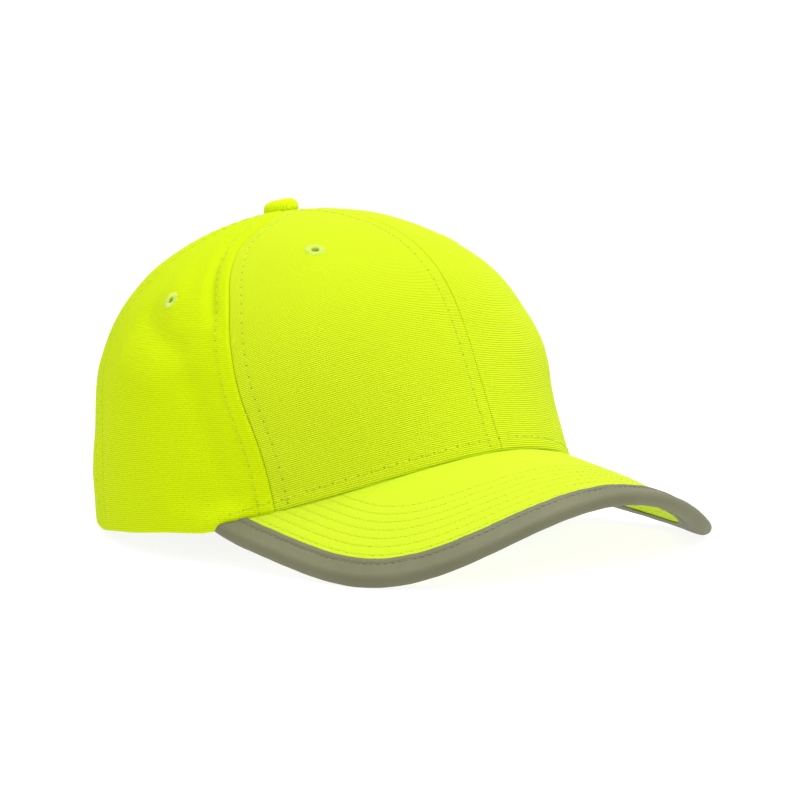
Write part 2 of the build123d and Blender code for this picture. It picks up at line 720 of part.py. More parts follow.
# Touch fasteners that hold the insert up in the crown.
DOTS = ((40, 0.70), (-40, 0.70), (140, 0.68), (-140, 0.68))
DOT_D = 22.0


def fastener_dot(theta, zf, inset, thick):
    with BuildPart() as dot:
        thicken(*cloth(disc_point(theta, zf, DOT_D / 2), inset, thick, 7, 7))
        with BuildSketch(eyelet_plane(theta, zf)):
            Circle(DOT_D / 2)
        extrude(amount=12, both=True, mode=Mode.INTERSECT)
    return dot.part


LOOP_DOT = TAPE_INSET
with BuildPart() as crown_loop_dots:
    for th, zf in DOTS:
        add(fastener_dot(th, zf, LOOP_DOT, 1.2))
with BuildPart() as shell_hook_dots:
    for th, zf in DOTS:
        add(fastener_dot(th, zf, LOOP_DOT + 1.55, SHELL_INSET - LOOP_DOT - 1.6))

# --------------------------------------------------------------------- export
front_panel_left.part.label = "front_panel_left"
front_panel_right.part.label = "front_panel_right"
side_panel_left.part.label = "side_panel_left"
side_panel_right.part.label = "side_panel_right"
rear_panel_left.part.label = "rear_panel_left"
rear_panel_right.part.label = "rear_panel_right"
front_buckram_left.part.label = "front_buckram_left"
front_buckram_right.part.label = "front_buckram_right"
front_seam_tape.part.label = "front_seam_tape"
front_side_seam_tape_left.part.label = "front_side_seam_tape_left"
front_side_seam_tape_right.part.label = "front_side_seam_tape_right"
rear_side_seam_tape_left.part.label = "rear_side_seam_tape_left"
rear_side_seam_tape_right.part.label = "rear_side_seam_tape_right"
rear_seam_tape.part.label = "rear_seam_tape"
button_cover.part.label = "button_cover"
button_core.part.label = "button_core"
button_washer.part.label = "button_washer"
front_eyelets.part.label = "front_eyelets"
side_eyelets.part.label = "side_eyelets"
rear_eyelets.part.label = "rear_eyelets"
peak_top_cover.part.label = "peak_top_cover"
peak_board.part.label = "peak_board"
peak_under_cover.part.label = "peak_under_cover"
peak_binding.part.label = "peak_binding"
sweatband_foam.part.label = "sweatband_foam"
sweatband_cover.part.label = "sweatband_cover"
arch_binding.part.label = "arch_binding"
loop_strap_web.part.label = "loop_strap_web"
loop_tape.part.label = "loop_tape"
loop_strap_anchor.part.label = "loop_strap_anchor"
hook_strap_web.part.label = "hook_strap_web"
hook_tape.part.label = "hook_tape"
hook_strap_anchor.part.label = "hook_strap_anchor"
bump_shell.part.label = "bump_shell"
crown_pad.part.label = "crown_pad"
front_pad.part.label = "front_pad"
side_pad_left.part.label = "side_pad_left"
side_pad_right.part.label = "side_pad_right"
rear_pad.part.label = "rear_pad"
crown_loop_dots.part.label = "crown_loop_dots"
shell_hook_dots.part.label = "shell_hook_dots"

PIECES = (front_panel_left, front_panel_right, side_panel_left, side_panel_right,
          rear_panel_left, rear_panel_right, front_buckram_left, front_buckram_right,
          front_seam_tape, front_side_seam_tape_left, front_side_seam_tape_right,
          rear_side_seam_tape_left, rear_side_seam_tape_right, rear_seam_tape,
          button_cover, button_core, button_washer, front_eyelets, side_eyelets, rear_eyelets,
          peak_top_cover, peak_board, peak_under_cover, peak_binding,
          sweatband_foam, sweatband_cover, arch_binding,
          loop_strap_web, loop_tape, loop_strap_anchor,
          hook_strap_web, hook_tape, hook_strap_anchor,
          bump_shell, crown_pad, front_pad, side_pad_left, side_pad_right, rear_pad,
          crown_loop_dots, shell_hook_dots)

low = [1e9] * 3
high = [-1e9] * 3
for piece in PIECES:
    export_step(piece.part, "parts/" + piece.part.label + ".step")
    box = piece.part.bounding_box()
    for i, (a, b) in enumerate(zip(box.min, box.max)):
        low[i], high[i] = min(low[i], a), max(high[i], b)
    print("%-28s solids %d volume %9.1f area %9.1f valid %s" % (
        piece.part.label, len(piece.part.solids()), piece.part.volume, piece.part.area, piece.part.is_valid))
print("box", [round(k, 3) for k in low], [round(k, 3) for k in high])
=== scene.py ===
import math

import bpy
import numpy as np
from mathutils import Matrix, Vector


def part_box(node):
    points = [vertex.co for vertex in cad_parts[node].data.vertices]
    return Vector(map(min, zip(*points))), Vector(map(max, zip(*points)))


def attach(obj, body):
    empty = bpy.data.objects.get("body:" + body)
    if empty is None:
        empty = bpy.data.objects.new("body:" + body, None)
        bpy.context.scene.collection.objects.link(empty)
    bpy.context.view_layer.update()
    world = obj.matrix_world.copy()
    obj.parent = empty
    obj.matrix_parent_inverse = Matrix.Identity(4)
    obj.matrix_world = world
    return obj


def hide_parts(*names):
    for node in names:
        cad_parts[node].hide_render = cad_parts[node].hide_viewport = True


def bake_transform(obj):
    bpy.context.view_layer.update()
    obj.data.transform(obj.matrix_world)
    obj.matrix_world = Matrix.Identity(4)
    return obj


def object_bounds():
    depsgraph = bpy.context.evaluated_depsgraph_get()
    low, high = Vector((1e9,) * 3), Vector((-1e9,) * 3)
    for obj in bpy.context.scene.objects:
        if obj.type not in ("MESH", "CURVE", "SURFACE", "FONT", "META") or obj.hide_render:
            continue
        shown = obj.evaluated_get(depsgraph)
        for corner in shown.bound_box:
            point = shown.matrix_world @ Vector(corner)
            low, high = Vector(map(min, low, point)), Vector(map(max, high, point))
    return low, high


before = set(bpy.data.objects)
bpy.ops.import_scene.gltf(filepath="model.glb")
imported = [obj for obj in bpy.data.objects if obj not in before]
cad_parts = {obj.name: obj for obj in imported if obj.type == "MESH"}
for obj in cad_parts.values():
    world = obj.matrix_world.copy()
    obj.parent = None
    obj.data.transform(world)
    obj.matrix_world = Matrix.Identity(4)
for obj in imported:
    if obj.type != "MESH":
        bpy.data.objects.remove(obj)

CAD_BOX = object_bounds()

# ------------------------------------------------------------------ crown shape
# Millimetres and degrees in the cap frame, as the construction has them: rim
# plane at z = 0, peak towards -Y, angles from the front centre towards +X.
CROWN_HEIGHT, APEX_SETBACK = 111.6, 24.4
TABLE = np.array((
    (84.91, 80.53, 88.73, 95.20, 109.15),
    (96.83, 94.71, 99.47, 104.61, 114.87),
    (116.43, 115.85, 113.81, 118.13, 125.71),
    (151.08, 139.94, 124.11, 131.48, 141.48),
    (203.56, 156.71, 111.12, 128.53, 154.74)))
REAR_RISE, PITCH = 5.0, math.radians(7.76)
ORIGIN_Y, ORIGIN_Z = 12.39, 9.75
SEAM_TOP, SEAM_SWAY, REAR_SEAM = 65.48, (6.38, -1.68), 124.0
PEAK_START, PEAK_HEIGHT = 84.91, 15.65
SLOPE = math.radians(17.7)
CURL = (1.025, -0.597)
PEAK_HALF, PEAK_SETBACK, PEAK_LENGTH = 94.8, 37.8, 52.9
PEAK_POWERS, PEAK_TAPER = (2.25, 4.28), 2.6
EDGE_THICK, BINDING, BINDING_WIDTH = 5.4, 0.42, 9.4
BUTTON_D, BUTTON_H = 13.5, 5.0
EYELETS = ((33.5, 0.849), (88.4, 0.732), (150.0, 0.760))
ARCH_W, ARCH_H = 74.0, 42.0
STITCH = 4.3
ROW = 5.0

COEF = np.zeros((5, 5))
for _k in range(5):
    _w = np.array([math.cos(math.pi * _k * j / 4) * (0.5 if j in (0, 4) else 1.0) for j in range(5)])
    COEF[:, _k] = TABLE @ _w / 2 * (0.5 if _k in (0, 4) else 1.0)


def A(*args):
    return np.broadcast_arrays(*[np.asarray(a, float) for a in args])


def smooth(x, a, b):
    t = np.clip((np.asarray(x, float) - a) / (b - a), 0, 1)
    return t * t * (3 - 2 * t)


def crown_c(th, zf):
    th, zf = A(th, zf)
    t = np.radians(th)
    rows = np.stack([np.cos(k * t) for k in range(5)], -1) @ COEF.T
    nodes = np.linspace(0, 1, 5)
    out = 0
    for i in range(5):
        w = 1.0
        for j in range(5):
            if j != i:
                w = w * (zf - nodes[j]) / (nodes[i] - nodes[j])
        out = out + w * rows[..., i]
    return out


def crown_raw(th, v):
    th, v = A(th, v)
    zf = 1 - (1 - v) ** 2
    r = (1 - v) * crown_c(th, zf)
    t = np.radians(th)
    return np.stack([r * np.sin(t), APEX_SETBACK * zf - r * np.cos(t), CROWN_HEIGHT * zf], -1)


def v_of(z):
    return 1 - np.sqrt(np.maximum(0.0, 1 - np.asarray(z, float) / CROWN_HEIGHT))


def unit(a):
    return a / np.maximum(np.linalg.norm(a, axis=-1, keepdims=True), 1e-12)


def crown_normal(th, v):
    a = crown_raw(th + 0.05, v) - crown_raw(th - 0.05, v)
    b = crown_raw(th, v + 1e-3) - crown_raw(th, v - 1e-3)
    return unit(np.cross(a, b))


def radius_at(th, v):
    return (1 - v) * crown_c(th, 1 - (1 - v) ** 2)


# ------------------------------------------------------------------- peak shape
_s, _x, _h = [0.0], [0.0], [0.0]
for _i in range(120):
    _m = _i + 0.5
    _phi = min(CURL[0] * _m / 100 + CURL[1] * (_m / 100) ** 3, 1.5)
    _s.append(_i + 1.0)
    _x.append(_x[-1] + math.cos(_phi))
    _h.append(_h[-1] - math.sin(_phi))
PROF_S, PROF_X, PROF_H = np.array(_s), np.array(_x), np.array(_h)


def bent_at(s, t, depth, rise=0.0):
    """Point of the peak: s across the flat board, t forward, depth below the bound surface."""
    s, t, depth = A(s, t, depth)
    s = s * (1 + 0.051 * smooth(s, 50, 92) * smooth(t, -42, 10))
    a = np.abs(s)
    x, h = np.interp(a, PROF_S, PROF_X), np.interp(a, PROF_S, PROF_H) + rise
    phi = CURL[0] * a / 100 + CURL[1] * (a / 100) ** 3
    x = np.sign(s) * (x - depth * np.sin(phi))
    h = h - depth * np.cos(phi)
    return np.stack([x, -PEAK_START - h * math.sin(SLOPE) - t * math.cos(SLOPE),
                     PEAK_HEIGHT + h * math.cos(SLOPE) - t * math.sin(SLOPE)], -1)


def peak_z(x, y):
    h = np.interp(np.abs(x), PROF_X, PROF_H)
    t = (-PEAK_START - h * math.sin(SLOPE) - y) / math.cos(SLOPE)
    return PEAK_HEIGHT + h * math.cos(SLOPE) - t * math.sin(SLOPE)


def wrap(th):
    return (np.asarray(th, float) + 180) % 360 - 180


def rim_z_now(th, drop=(60, 88)):
    a = np.abs(wrap(th))
    rear = REAR_RISE * np.maximum(0.0, -np.cos(np.radians(a))) ** 2
    w = smooth(a, *drop)
    z = np.zeros_like(a)
    for _ in range(6):
        p = crown_raw(a, v_of(z))
        d = (peak_z(p[..., 0], p[..., 1]) * (1 - w) - 3 * w) - rear
        z = rear + 0.5 * (d + np.sqrt(d * d + 1.44))
    return z


_rt = np.linspace(0, 180, 1441)
_rz = rim_z_now(_rt)
_rzb = rim_z_now(_rt, (50, 95))


def lap(th):
    """How far the hem stands out where it laps over an end of the peak."""
    return 2.9 * np.exp(-((np.abs(th) - 75) / 7.0) ** 2)


def rim_sunk(th):
    """How far the edge of the hem is let into the top of the peak."""
    return 0.1 + 0.5 * (1 - smooth(np.abs(th), 64, 69))


def rest_on_peak():
    z = _rz.copy()
    under = rim_sunk(_rt)
    for _ in range(25):
        v = v_of(z)
        p = crown_raw(_rt, v) + crown_normal(_rt, v) * lap(_rt)[:, None]
        z = 0.5 * z + 0.5 * (peak_z(p[:, 0], p[:, 1]) - under)
    base = _rz - 0.9 * np.exp(-((_rt - 80) / 7.0) ** 2) - 0.85 * np.exp(-((_rt - 128) / 9.0) ** 2) + 0.22 * np.exp(-((_rt - 96) / 10.0) ** 2)
    s = smooth(_rt, 72.8, 76.8)
    return np.where(_rt < 76.8, z, base) * (1 - s) + base * s


_rv = rest_on_peak()


def rim_v(th):
    return v_of(np.interp(np.abs(wrap(th)), _rt, _rv))


SEAM_W = (0.0, 0.055, 0.106, 0.139, 0.174, 0.208, 0.26, 0.302, 0.35, 0.437, 0.502, 0.559, 0.62, 0.66, 0.69, 0.74, 0.8, 1.0)
SEAM_D = (-0.6, 0.4, 0.7, 0.35, -0.1, -0.8, -0.8, -0.5, -0.2, 0.6, -0.1, -0.65, -0.8, -0.5, -0.2, 0.0, 0.0, 0.0)


def eased(x, xs, ys, width):
    """Table look-up with its corners rounded over that width."""
    x = np.asarray(x, float)
    k = np.linspace(-2, 2, 9)
    g = np.exp(-0.5 * k * k)
    return sum(gi * np.interp(x + ki * width, xs, ys) for ki, gi in zip(k, g)) / g.sum()


def plain_seam(w):
    w = np.asarray(w, float)
    q = (1 - w) ** 2
    return SEAM_TOP - SEAM_SWAY[0] * q - SEAM_SWAY[1] * q * q - 33.0 * np.maximum(0.0, (w - 0.66) / 0.34) ** 1.3


def side_seam(w):
    th = plain_seam(w)
    r = np.maximum(radius_at(th, v_at(th, w)), 3.0)
    return th - np.degrees(eased(w, SEAM_W, SEAM_D, 0.018) / r)


def top_w(th, hole=3.6):
    return 1 - hole / (crown_c(th, 1.0) * (1 - rim_v(th)))


def along_w(th, v):
    """Share of the way from the rim to the apex."""
    return 1 - (1 - v) / (1 - rim_v(th))


def v_at(th, w):
    return 1 - (1 - rim_v(th)) * (1 - w)


SEAMS = {
    "front": lambda w: 0.0 * np.asarray(w, float),
    "front_side_left": side_seam,
    "front_side_right": lambda w: -side_seam(w),
    "rear_side_left": lambda w: REAR_SEAM + 0.0 * np.asarray(w, float),
    "rear_side_right": lambda w: -REAR_SEAM + 0.0 * np.asarray(w, float),
    "rear": lambda w: 180.0 + 0.0 * np.asarray(w, float),
}
_ws = np.linspace(0, 0.985, 500)
SEAM_RUN = {}
for _n, _f in SEAMS.items():
    _p = crown_raw(_f(_ws), v_at(_f(_ws), _ws))
    SEAM_RUN[_n] = np.r_[0, np.cumsum(np.linalg.norm(np.diff(_p, axis=0), axis=-1))]


def waves(s, seed, lengths=(31.0, 17.3, 9.1), weights=(1.0, 0.7, 0.4)):
    out = 0
    for i, (l, w) in enumerate(zip(lengths, weights)):
        out = out + w * np.sin(2 * math.pi * s / l + 1.7 * seed + 2.3 * i)
    return out / sum(weights)


# For each seam, its two sides (towards +angle, towards -angle):
# depth of the fold, its width, height of the pressed seam allowance, stitch row.
FLAT, ROLL, EVEN, CLOSE = (0.62, 0.55, 0.03, 5.0), (0.85, 1.0, 0.40, 5.7), (0.40, 0.5, 0.10, 5.0), (0.75, 0.34, 0.04, 5.0)
SIDES = {
    "front": (CLOSE, CLOSE),
    "front_side_left": (ROLL, FLAT),
    "front_side_right": (FLAT, ROLL),
    "rear_side_left": (EVEN, EVEN),
    "rear_side_right": (EVEN, EVEN),
    "rear": (EVEN, EVEN),
}


def seam_shape(d, kind):
    """Height of the sewn cloth at distance d from the seam line."""
    deep, wide, band, row = kind
    fold = -deep * (1 - np.sqrt(np.clip(1 - (1 - np.minimum(d, wide) / wide) ** 2, 0, 1)))
    up = band * smooth(d, 0.1, 1.3) * (1 - smooth(d, row - 0.8, row + 1.6))
    groove = -0.08 * np.exp(-((d - row) / 0.5) ** 2)
    return fold + up + groove


def hem_span(th):
    return 1 - smooth(np.abs(wrap(th)), 72, 79)


def hem_row(th):
    a = np.abs(wrap(th))
    return ROW - 0.9 * smooth(a, 46, 62) - 1.6 * smooth(a, 62, 73)


def crown_height_above_rim(th, v):
    return np.linalg.norm(crown_raw(th, v) - crown_raw(th, rim_v(th)), axis=-1)


SET_Z = (0, 6.6, 13.0, 21.2, 29.1, 36.6, 43.7, 52.1, 60.0, 67.3, 74.1, 81.4, 88.0, 93.7, 98.7, 102.9, 106.2, 108.4, 110.0, 111.0, 111.6)
SET_L = (0.95, 1.06, 0.99, 1.15, 0.47, -0.25, -0.36, -0.15, 0.0, -0.45, -0.4, -0.18, -0.1, 0.3, 0.1, -0.3, -0.35, -0.45, -0.95, -0.7, 0.0)
SET_R = (1.2, 1.2, 1.0, 0.36, -0.22, -0.25, 0.65, 1.1, 0.6, -0.14, -0.04, 0.07, -0.3, -0.5, -0.4, -0.22, 0.22, 0.54, 0.43, 0.0, 0.0)
SET_TH = (48.5, 47.1, 46.8, 46.6, 46.5, 46.4, 46.0, 45.1, 43.9, 42.3, 40.3, 37.6, 34.7, 31.9, 29.3, 27.0, 24.8, 22.8, 20.0, 16.0, 10.0)
# Soft dents of the unstiffened side: from (angle, height) to (angle, height), width, depth.
DENTS = (
    ((-99, 77), (-80, 64), 5.4, -1.25),
    ((-93, 88), (-86, 84), 6.5, 0.8),
    ((-104, 60), (-90, 54), 8.5, 1.3),
    ((-76, 50), (-73, 20), 6.5, -1.4),
    ((-93, 34), (-90, 12), 11.0, 1.0),
    ((-75, 98), (-69, 76), 3.6, -1.3),
    ((-118, 50), (-120, 24), 6.0, -0.7),
    ((-66, 24), (-60, 10), 6.0, -0.5),
    ((-128, 66), (-126, 40), 6.0, -0.5),
    ((-70, 10), (-84, 13), 4.5, -0.7),
    ((96, 74), (84, 62), 6.5, -0.6),
    ((103, 56), (94, 50), 9.0, 0.5),
    ((79, 44), (77, 24), 7.0, -0.5),
    ((98, 32), (94, 10), 12.0, 0.45),
    ((70, 10), (84, 13), 4.5, -0.6),
    ((150, 62), (138, 74), 7.0, -0.55),
    ((-146, 66), (-158, 74), 7.0, -0.55),
    ((-140, 30), (-146, 14), 9.0, 0.4),
    ((142, 26), (148, 12), 9.0, 0.4),
)


def settle(th, z):
    """Where the cloth stands off the plain form: soft dents and an uneven outline."""
    out = 0.0
    out = out + eased(z, SET_Z, SET_L, 1.6) * np.exp(-(wrap(th + 138) / 24.0) ** 2)
    out = out + eased(z, SET_Z, SET_R, 1.6) * np.exp(-(wrap(th - np.interp(z, SET_Z, SET_TH)) / 20.0) ** 2)
    for (t0, z0), (t1, z1), width, depth in DENTS:
        k = 1.62
        x, y = wrap(th - t0) * k, z - z0
        dx, dy = (t1 - t0) * k, z1 - z0
        f = np.clip((x * dx + y * dy) / (dx * dx + dy * dy), 0, 1)
        d2 = (x - f * dx) ** 2 + (y - f * dy) ** 2
        out = out + depth * np.exp(-d2 / width ** 2)
    return out


def relief(th, v, parts=False):
    """Outward height of the finished cloth above the plain crown, in mm."""
    th, v = A(th, v)
    th = wrap(th)
    w = along_w(th, v)
    r = radius_at(th, v)
    z = CROWN_HEIGHT * (1 - (1 - v) ** 2)
    edge = crown_height_above_rim(th, v)
    out = np.zeros_like(th)
    near, phase = np.full(th.shape, 99.0), np.zeros_like(th)
    for k, (name, f) in enumerate(SEAMS.items()):
        delta = wrap(th - f(np.clip(w, 0, 1)))
        d = np.abs(delta) * np.radians(1) * r
        s = np.interp(w, _ws, SEAM_RUN[name])
        fade = smooth(r, 4, 12)
        side = np.where(delta > 0, 0.0, 1.0)
        cell = 2 * math.pi * s / STITCH
        plus, minus = SIDES[name]
        shape = np.where(delta > 0, seam_shape(d, plus), seam_shape(d, minus))
        row = np.where(delta > 0, plus[3], minus[3])
        pull = 0.03 * np.cos(cell + 1.3 * side) * np.exp(-((d - row + 0.8) / 1.5) ** 2)
        slow = 0.10 * waves(s, k + 3 * side) * np.exp(-((d - 3.0) / 2.6) ** 2)
        far = 0.14 * waves(s, k + 7 + 2 * side, (47.0, 28.0, 15.0)) * np.exp(-((d - 9.0) / 6.0) ** 2)
        out = out + np.where(d < 30, fade * (shape + pull + slow + far), 0)
        q = np.abs(d - row) + (0.3 * (delta > 0) if name == "front" else 0.0)
        phase = np.where(q < near, s / STITCH + 0.37 * side + 0.21 * k, phase)
        near = np.minimum(near, q)
    span = hem_span(th)
    row = hem_row(th)
    hem = 0.20 * smooth(edge, 0.1, 1.5) * (1 - smooth(edge, row - 0.8, row + 1.4)) - 0.13 * np.exp(-((edge - row) / 0.5) ** 2)
    run = np.interp(th, HEM_T, HEM_RUN)
    hem = hem + 0.04 * np.cos(2 * math.pi * run / HEM_STITCH) * np.exp(-((edge - 4.0) / 1.8) ** 2)
    hem = hem + 0.10 * waves(run, 5) * np.exp(-((edge - 2.5) / 2.6) ** 2)
    out = out + span * hem
    q = np.where(span > 0.5, np.maximum(np.abs(edge - row) - 0.12, 0), 99.0)
    phase = np.where(q < near, run / HEM_STITCH, phase)
    near = np.minimum(near, q)
    # the folded hem rounds in where it meets the peak
    e = np.minimum(np.maximum(edge - rim_sunk(th), 0), 0.95) / 0.95
    out = out - span * 0.72 * (1 - np.sqrt(np.clip(1 - (1 - e) ** 2, 0, 1)))
    # the cloth turns under at the rest of its edge
    out = out - (1 - span) * 0.5 * (1 - np.sqrt(np.clip(1 - (1 - np.minimum(edge, 1.2) / 1.2) ** 2, 0, 1)))
    # the hem laps over each end of the peak, with small tucks
    a = np.abs(th)
    lapped = lap(th) * (1 - smooth(edge, 1.5, 10.5))
    tuck = 0.28 * np.cos(2 * math.pi * (a - 74) / 4.6 + edge * 0.5) * np.exp(-((a - 72) / 7.0) ** 2) * smooth(edge, 0.5, 3.0) * (1 - smooth(edge, 5.0, 10.0))
    out = out + lapped + tuck
    out = out + settle(th, z)
    if parts:
        return out, near, phase
    return out


HEM_STITCH = 4.7
HEM_T = np.linspace(-78, 78, 601)
_p = crown_raw(HEM_T, rim_v(HEM_T))
HEM_RUN = np.r_[0, np.cumsum(np.linalg.norm(np.diff(_p, axis=0), axis=-1))]


def cloth_point(th, v, lift=0.0):
    return crown_raw(th, v) + crown_normal(th, v) * (relief(th, v) + lift)[..., None]


def inner_point(th, v, inset):
    inset = np.asarray(inset, float)
    return crown_raw(th, v) - crown_normal(th, v) * (inset[..., None] if inset.ndim else inset)


# -------------------------------------------------------------------- placement
def place(p):
    p = np.asarray(p, float)
    x, y, z = p[..., 0], p[..., 1], p[..., 2]
    c, s = math.cos(PITCH), math.sin(PITCH)
    return (np.stack([x, y * c + z * s + ORIGIN_Y, -y * s + z * c + ORIGIN_Z], -1)) / 1000 + SHIFT


def turn(d):
    d = np.asarray(d, float)
    x, y, z = d[..., 0], d[..., 1], d[..., 2]
    c, s = math.cos(PITCH), math.sin(PITCH)
    return np.stack([x, y * c + z * s, -y * s + z * c], -1)


# The button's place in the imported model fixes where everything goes.
SHIFT = np.zeros(3)
_lo, _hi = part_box("button_cover")
_want = np.array([(a + b) / 2 for a, b in zip(_lo, _hi)])
_made = place((0, APEX_SETBACK, CROWN_HEIGHT + 0.5 * (BUTTON_H + 0.2)))
SHIFT = np.round((_want - _made) / 0.002) * 0.002


# ------------------------------------------------------------------ mesh helpers
def new_object(name, verts, faces, material, attrs=None, smooth_shade=True):
    mesh = bpy.data.meshes.new(name)
    mesh.from_pydata([tuple(p) for p in np.asarray(verts, float)], [], [tuple(int(i) for i in f) for f in faces])
    mesh.validate()
    if smooth_shade:
        mesh.polygons.foreach_set("use_smooth", [True] * len(mesh.polygons))
    for key, values in (attrs or {}).items():
        layer = mesh.attributes.new(key, "FLOAT_VECTOR", "POINT")
        layer.data.foreach_set("vector", np.asarray(values, np.float32).ravel())
    mesh.materials.append(material)
    mesh.update()
    obj = bpy.data.objects.new(name, mesh)
    bpy.context.scene.collection.objects.link(obj)
    return obj


def finish_piece(obj, body, nodes=()):
    if isinstance(body, tuple):
        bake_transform(obj)
    else:
        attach(obj, body)
    if nodes:
        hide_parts(*nodes)
    return obj


def without_holes(grid, faces):
    """Faces outside the punched eyelets; grid in cap millimetres."""
    mids = np.array([grid[list(f)].mean(0) for f in faces])
    keep = np.ones(len(faces), bool)
    for theta, zf in EYELETS:
        for sg in (1, -1):
            v = 1 - math.sqrt(1 - zf)
            c, n = crown_raw(sg * theta, v), crown_normal(sg * theta, v)
            d = mids - c
            along = d @ n
            keep &= ~((np.linalg.norm(d - along[:, None] * n, axis=-1) < 1.9) & (np.abs(along) < 4))
    return [f for f, k in zip(faces, keep) if k]


def shell(name, outer, inner, material, attrs_out=None, attrs_in=None, round_w=0.25, round_u=0.2, punched=False):
    """Closed cloth from an outer and an inner grid (nu, nw, 3) in mm, with rounded edges."""
    nu, nw = outer.shape[:2]
    mid = 0.5 * (outer + inner)

    def edge(a, b, r):
        e = unit(a - b)
        return e * r

    eb = edge(mid[:, 0], mid[:, 1], round_w)
    et = edge(mid[:, -1], mid[:, -2], round_w)
    rings = [outer]
    o, i = outer[:, -1], inner[:, -1]
    rings.append(np.stack([o + 0.14 * (i - o) + 0.72 * et, 0.5 * (o + i) + et, i + 0.14 * (o - i) + 0.72 * et], 1))
    rings.append(inner[:, ::-1])
    o, i = outer[:, 0], inner[:, 0]
    rings.append(np.stack([i + 0.14 * (o - i) + 0.72 * eb, 0.5 * (o + i) + eb, o + 0.14 * (i - o) + 0.72 * eb], 1))
    ring = np.concatenate(rings, 1)
    centre = np.concatenate([mid, np.stack([mid[:, -1] + 0.72 * et, mid[:, -1] + et, mid[:, -1] + 0.72 * et], 1),
                             mid[:, ::-1], np.stack([mid[:, 0] + 0.72 * eb, mid[:, 0] + eb, mid[:, 0] + 0.72 * eb], 1)], 1)
    e0 = unit(centre[0] - centre[1]) * round_u
    e1 = unit(centre[-1] - centre[-2]) * round_u
    cols = [centre[0] + (ring[0] - centre[0]) * 0.12 + e0, centre[0] + (ring[0] - centre[0]) * 0.72 + 0.7 * e0]
    cols += list(ring)
    cols += [centre[-1] + (ring[-1] - centre[-1]) * 0.72 + 0.7 * e1, centre[-1] + (ring[-1] - centre[-1]) * 0.12 + e1]
    grid = np.array(cols)
    n, m = grid.shape[:2]
    idx = np.arange(n * m).reshape(n, m)
    a, b = idx[:-1], idx[1:]
    faces = np.stack([a, b, np.roll(b, -1, 1), np.roll(a, -1, 1)], -1).reshape(-1, 4).tolist()
    for row, flip in ((idx[0], False), (idx[-1], True)):
        out_i, in_i = row[:nw], row[nw + 3:2 * nw + 3][::-1]
        quads = [(out_i[k], out_i[k + 1], in_i[k + 1], in_i[k]) for k in range(nw - 1)]
        quads.append((out_i[-1], row[nw], row[nw + 1], row[nw + 2], in_i[-1]))
        quads.append((in_i[0], row[2 * nw + 3], row[2 * nw + 4], row[2 * nw + 5], out_i[0]))
        faces += [q[::-1] if flip else q for q in quads]
    attrs = {}
    for key, val in (attrs_out or {}).items():
        vi = (attrs_in or attrs_out)[key]
        ra = np.concatenate([val, np.repeat(val[:, -1:], 3, 1), vi[:, ::-1], np.repeat(val[:, :1], 3, 1)], 1)
        attrs[key] = np.concatenate([ra[:1], ra[:1], ra, ra[-1:], ra[-1:]], 0).reshape(-1, 3)
    # outward facing: the outer grid's first face should look away from the inner grid
    i0, j0 = nu // 2, nw // 2
    nrm = np.cross(outer[i0 + 1, j0] - outer[i0, j0], outer[i0, j0 + 1] - outer[i0, j0])
    if (nrm * (outer[i0, j0] - inner[i0, j0])).sum() < 0:
        faces = [f[::-1] for f in faces]
    if punched:
        faces = without_holes(grid.reshape(-1, 3), faces)
    obj = new_object(name, place(grid.reshape(-1, 3)), faces, material, attrs)
    return obj


def tube(points, normals, radius, sides=6, caps=True, flatten=1.0):
    """Tube along points (n, 3); normals give its upper side. Returns verts, faces."""
    p = np.asarray(points, float)
    n = len(p)
    t = unit(np.gradient(p, axis=0))
    up = unit(normals - (normals * t).sum(-1, keepdims=True) * t)
    side = np.cross(t, up)
    r = np.broadcast_to(np.asarray(radius, float), (n,))
    ang = np.arange(sides) * 2 * math.pi / sides
    ring = p[:, None] + r[:, None, None] * (np.cos(ang)[None, :, None] * side[:, None] + flatten * np.sin(ang)[None, :, None] * up[:, None])
    verts = ring.reshape(-1, 3)
    idx = np.arange(n * sides).reshape(n, sides)
    faces = []
    for i in range(n - 1):
        for j in range(sides):
            k = (j + 1) % sides
            faces.append((idx[i, j], idx[i, k], idx[i + 1, k], idx[i + 1, j]))
    if caps:
        faces.append(tuple(idx[0][::-1]))
        faces.append(tuple(idx[-1]))
    return verts, faces


class Collector:
    def __init__(self):
        self.v, self.f, self.n, self.g = [], [], 0, []

    def add(self, verts, faces, grain=None):
        self.v.append(np.asarray(verts))
        self.f += [tuple(int(i) + self.n for i in f) for f in faces]
        self.n += len(verts)
        if grain is None:
            grain = np.zeros((len(verts), 3))
        self.g.append(grain)

    def make(self, name, material):
        return new_object(name, place(np.concatenate(self.v)), self.f, material, {"grain": np.concatenate(self.g)})


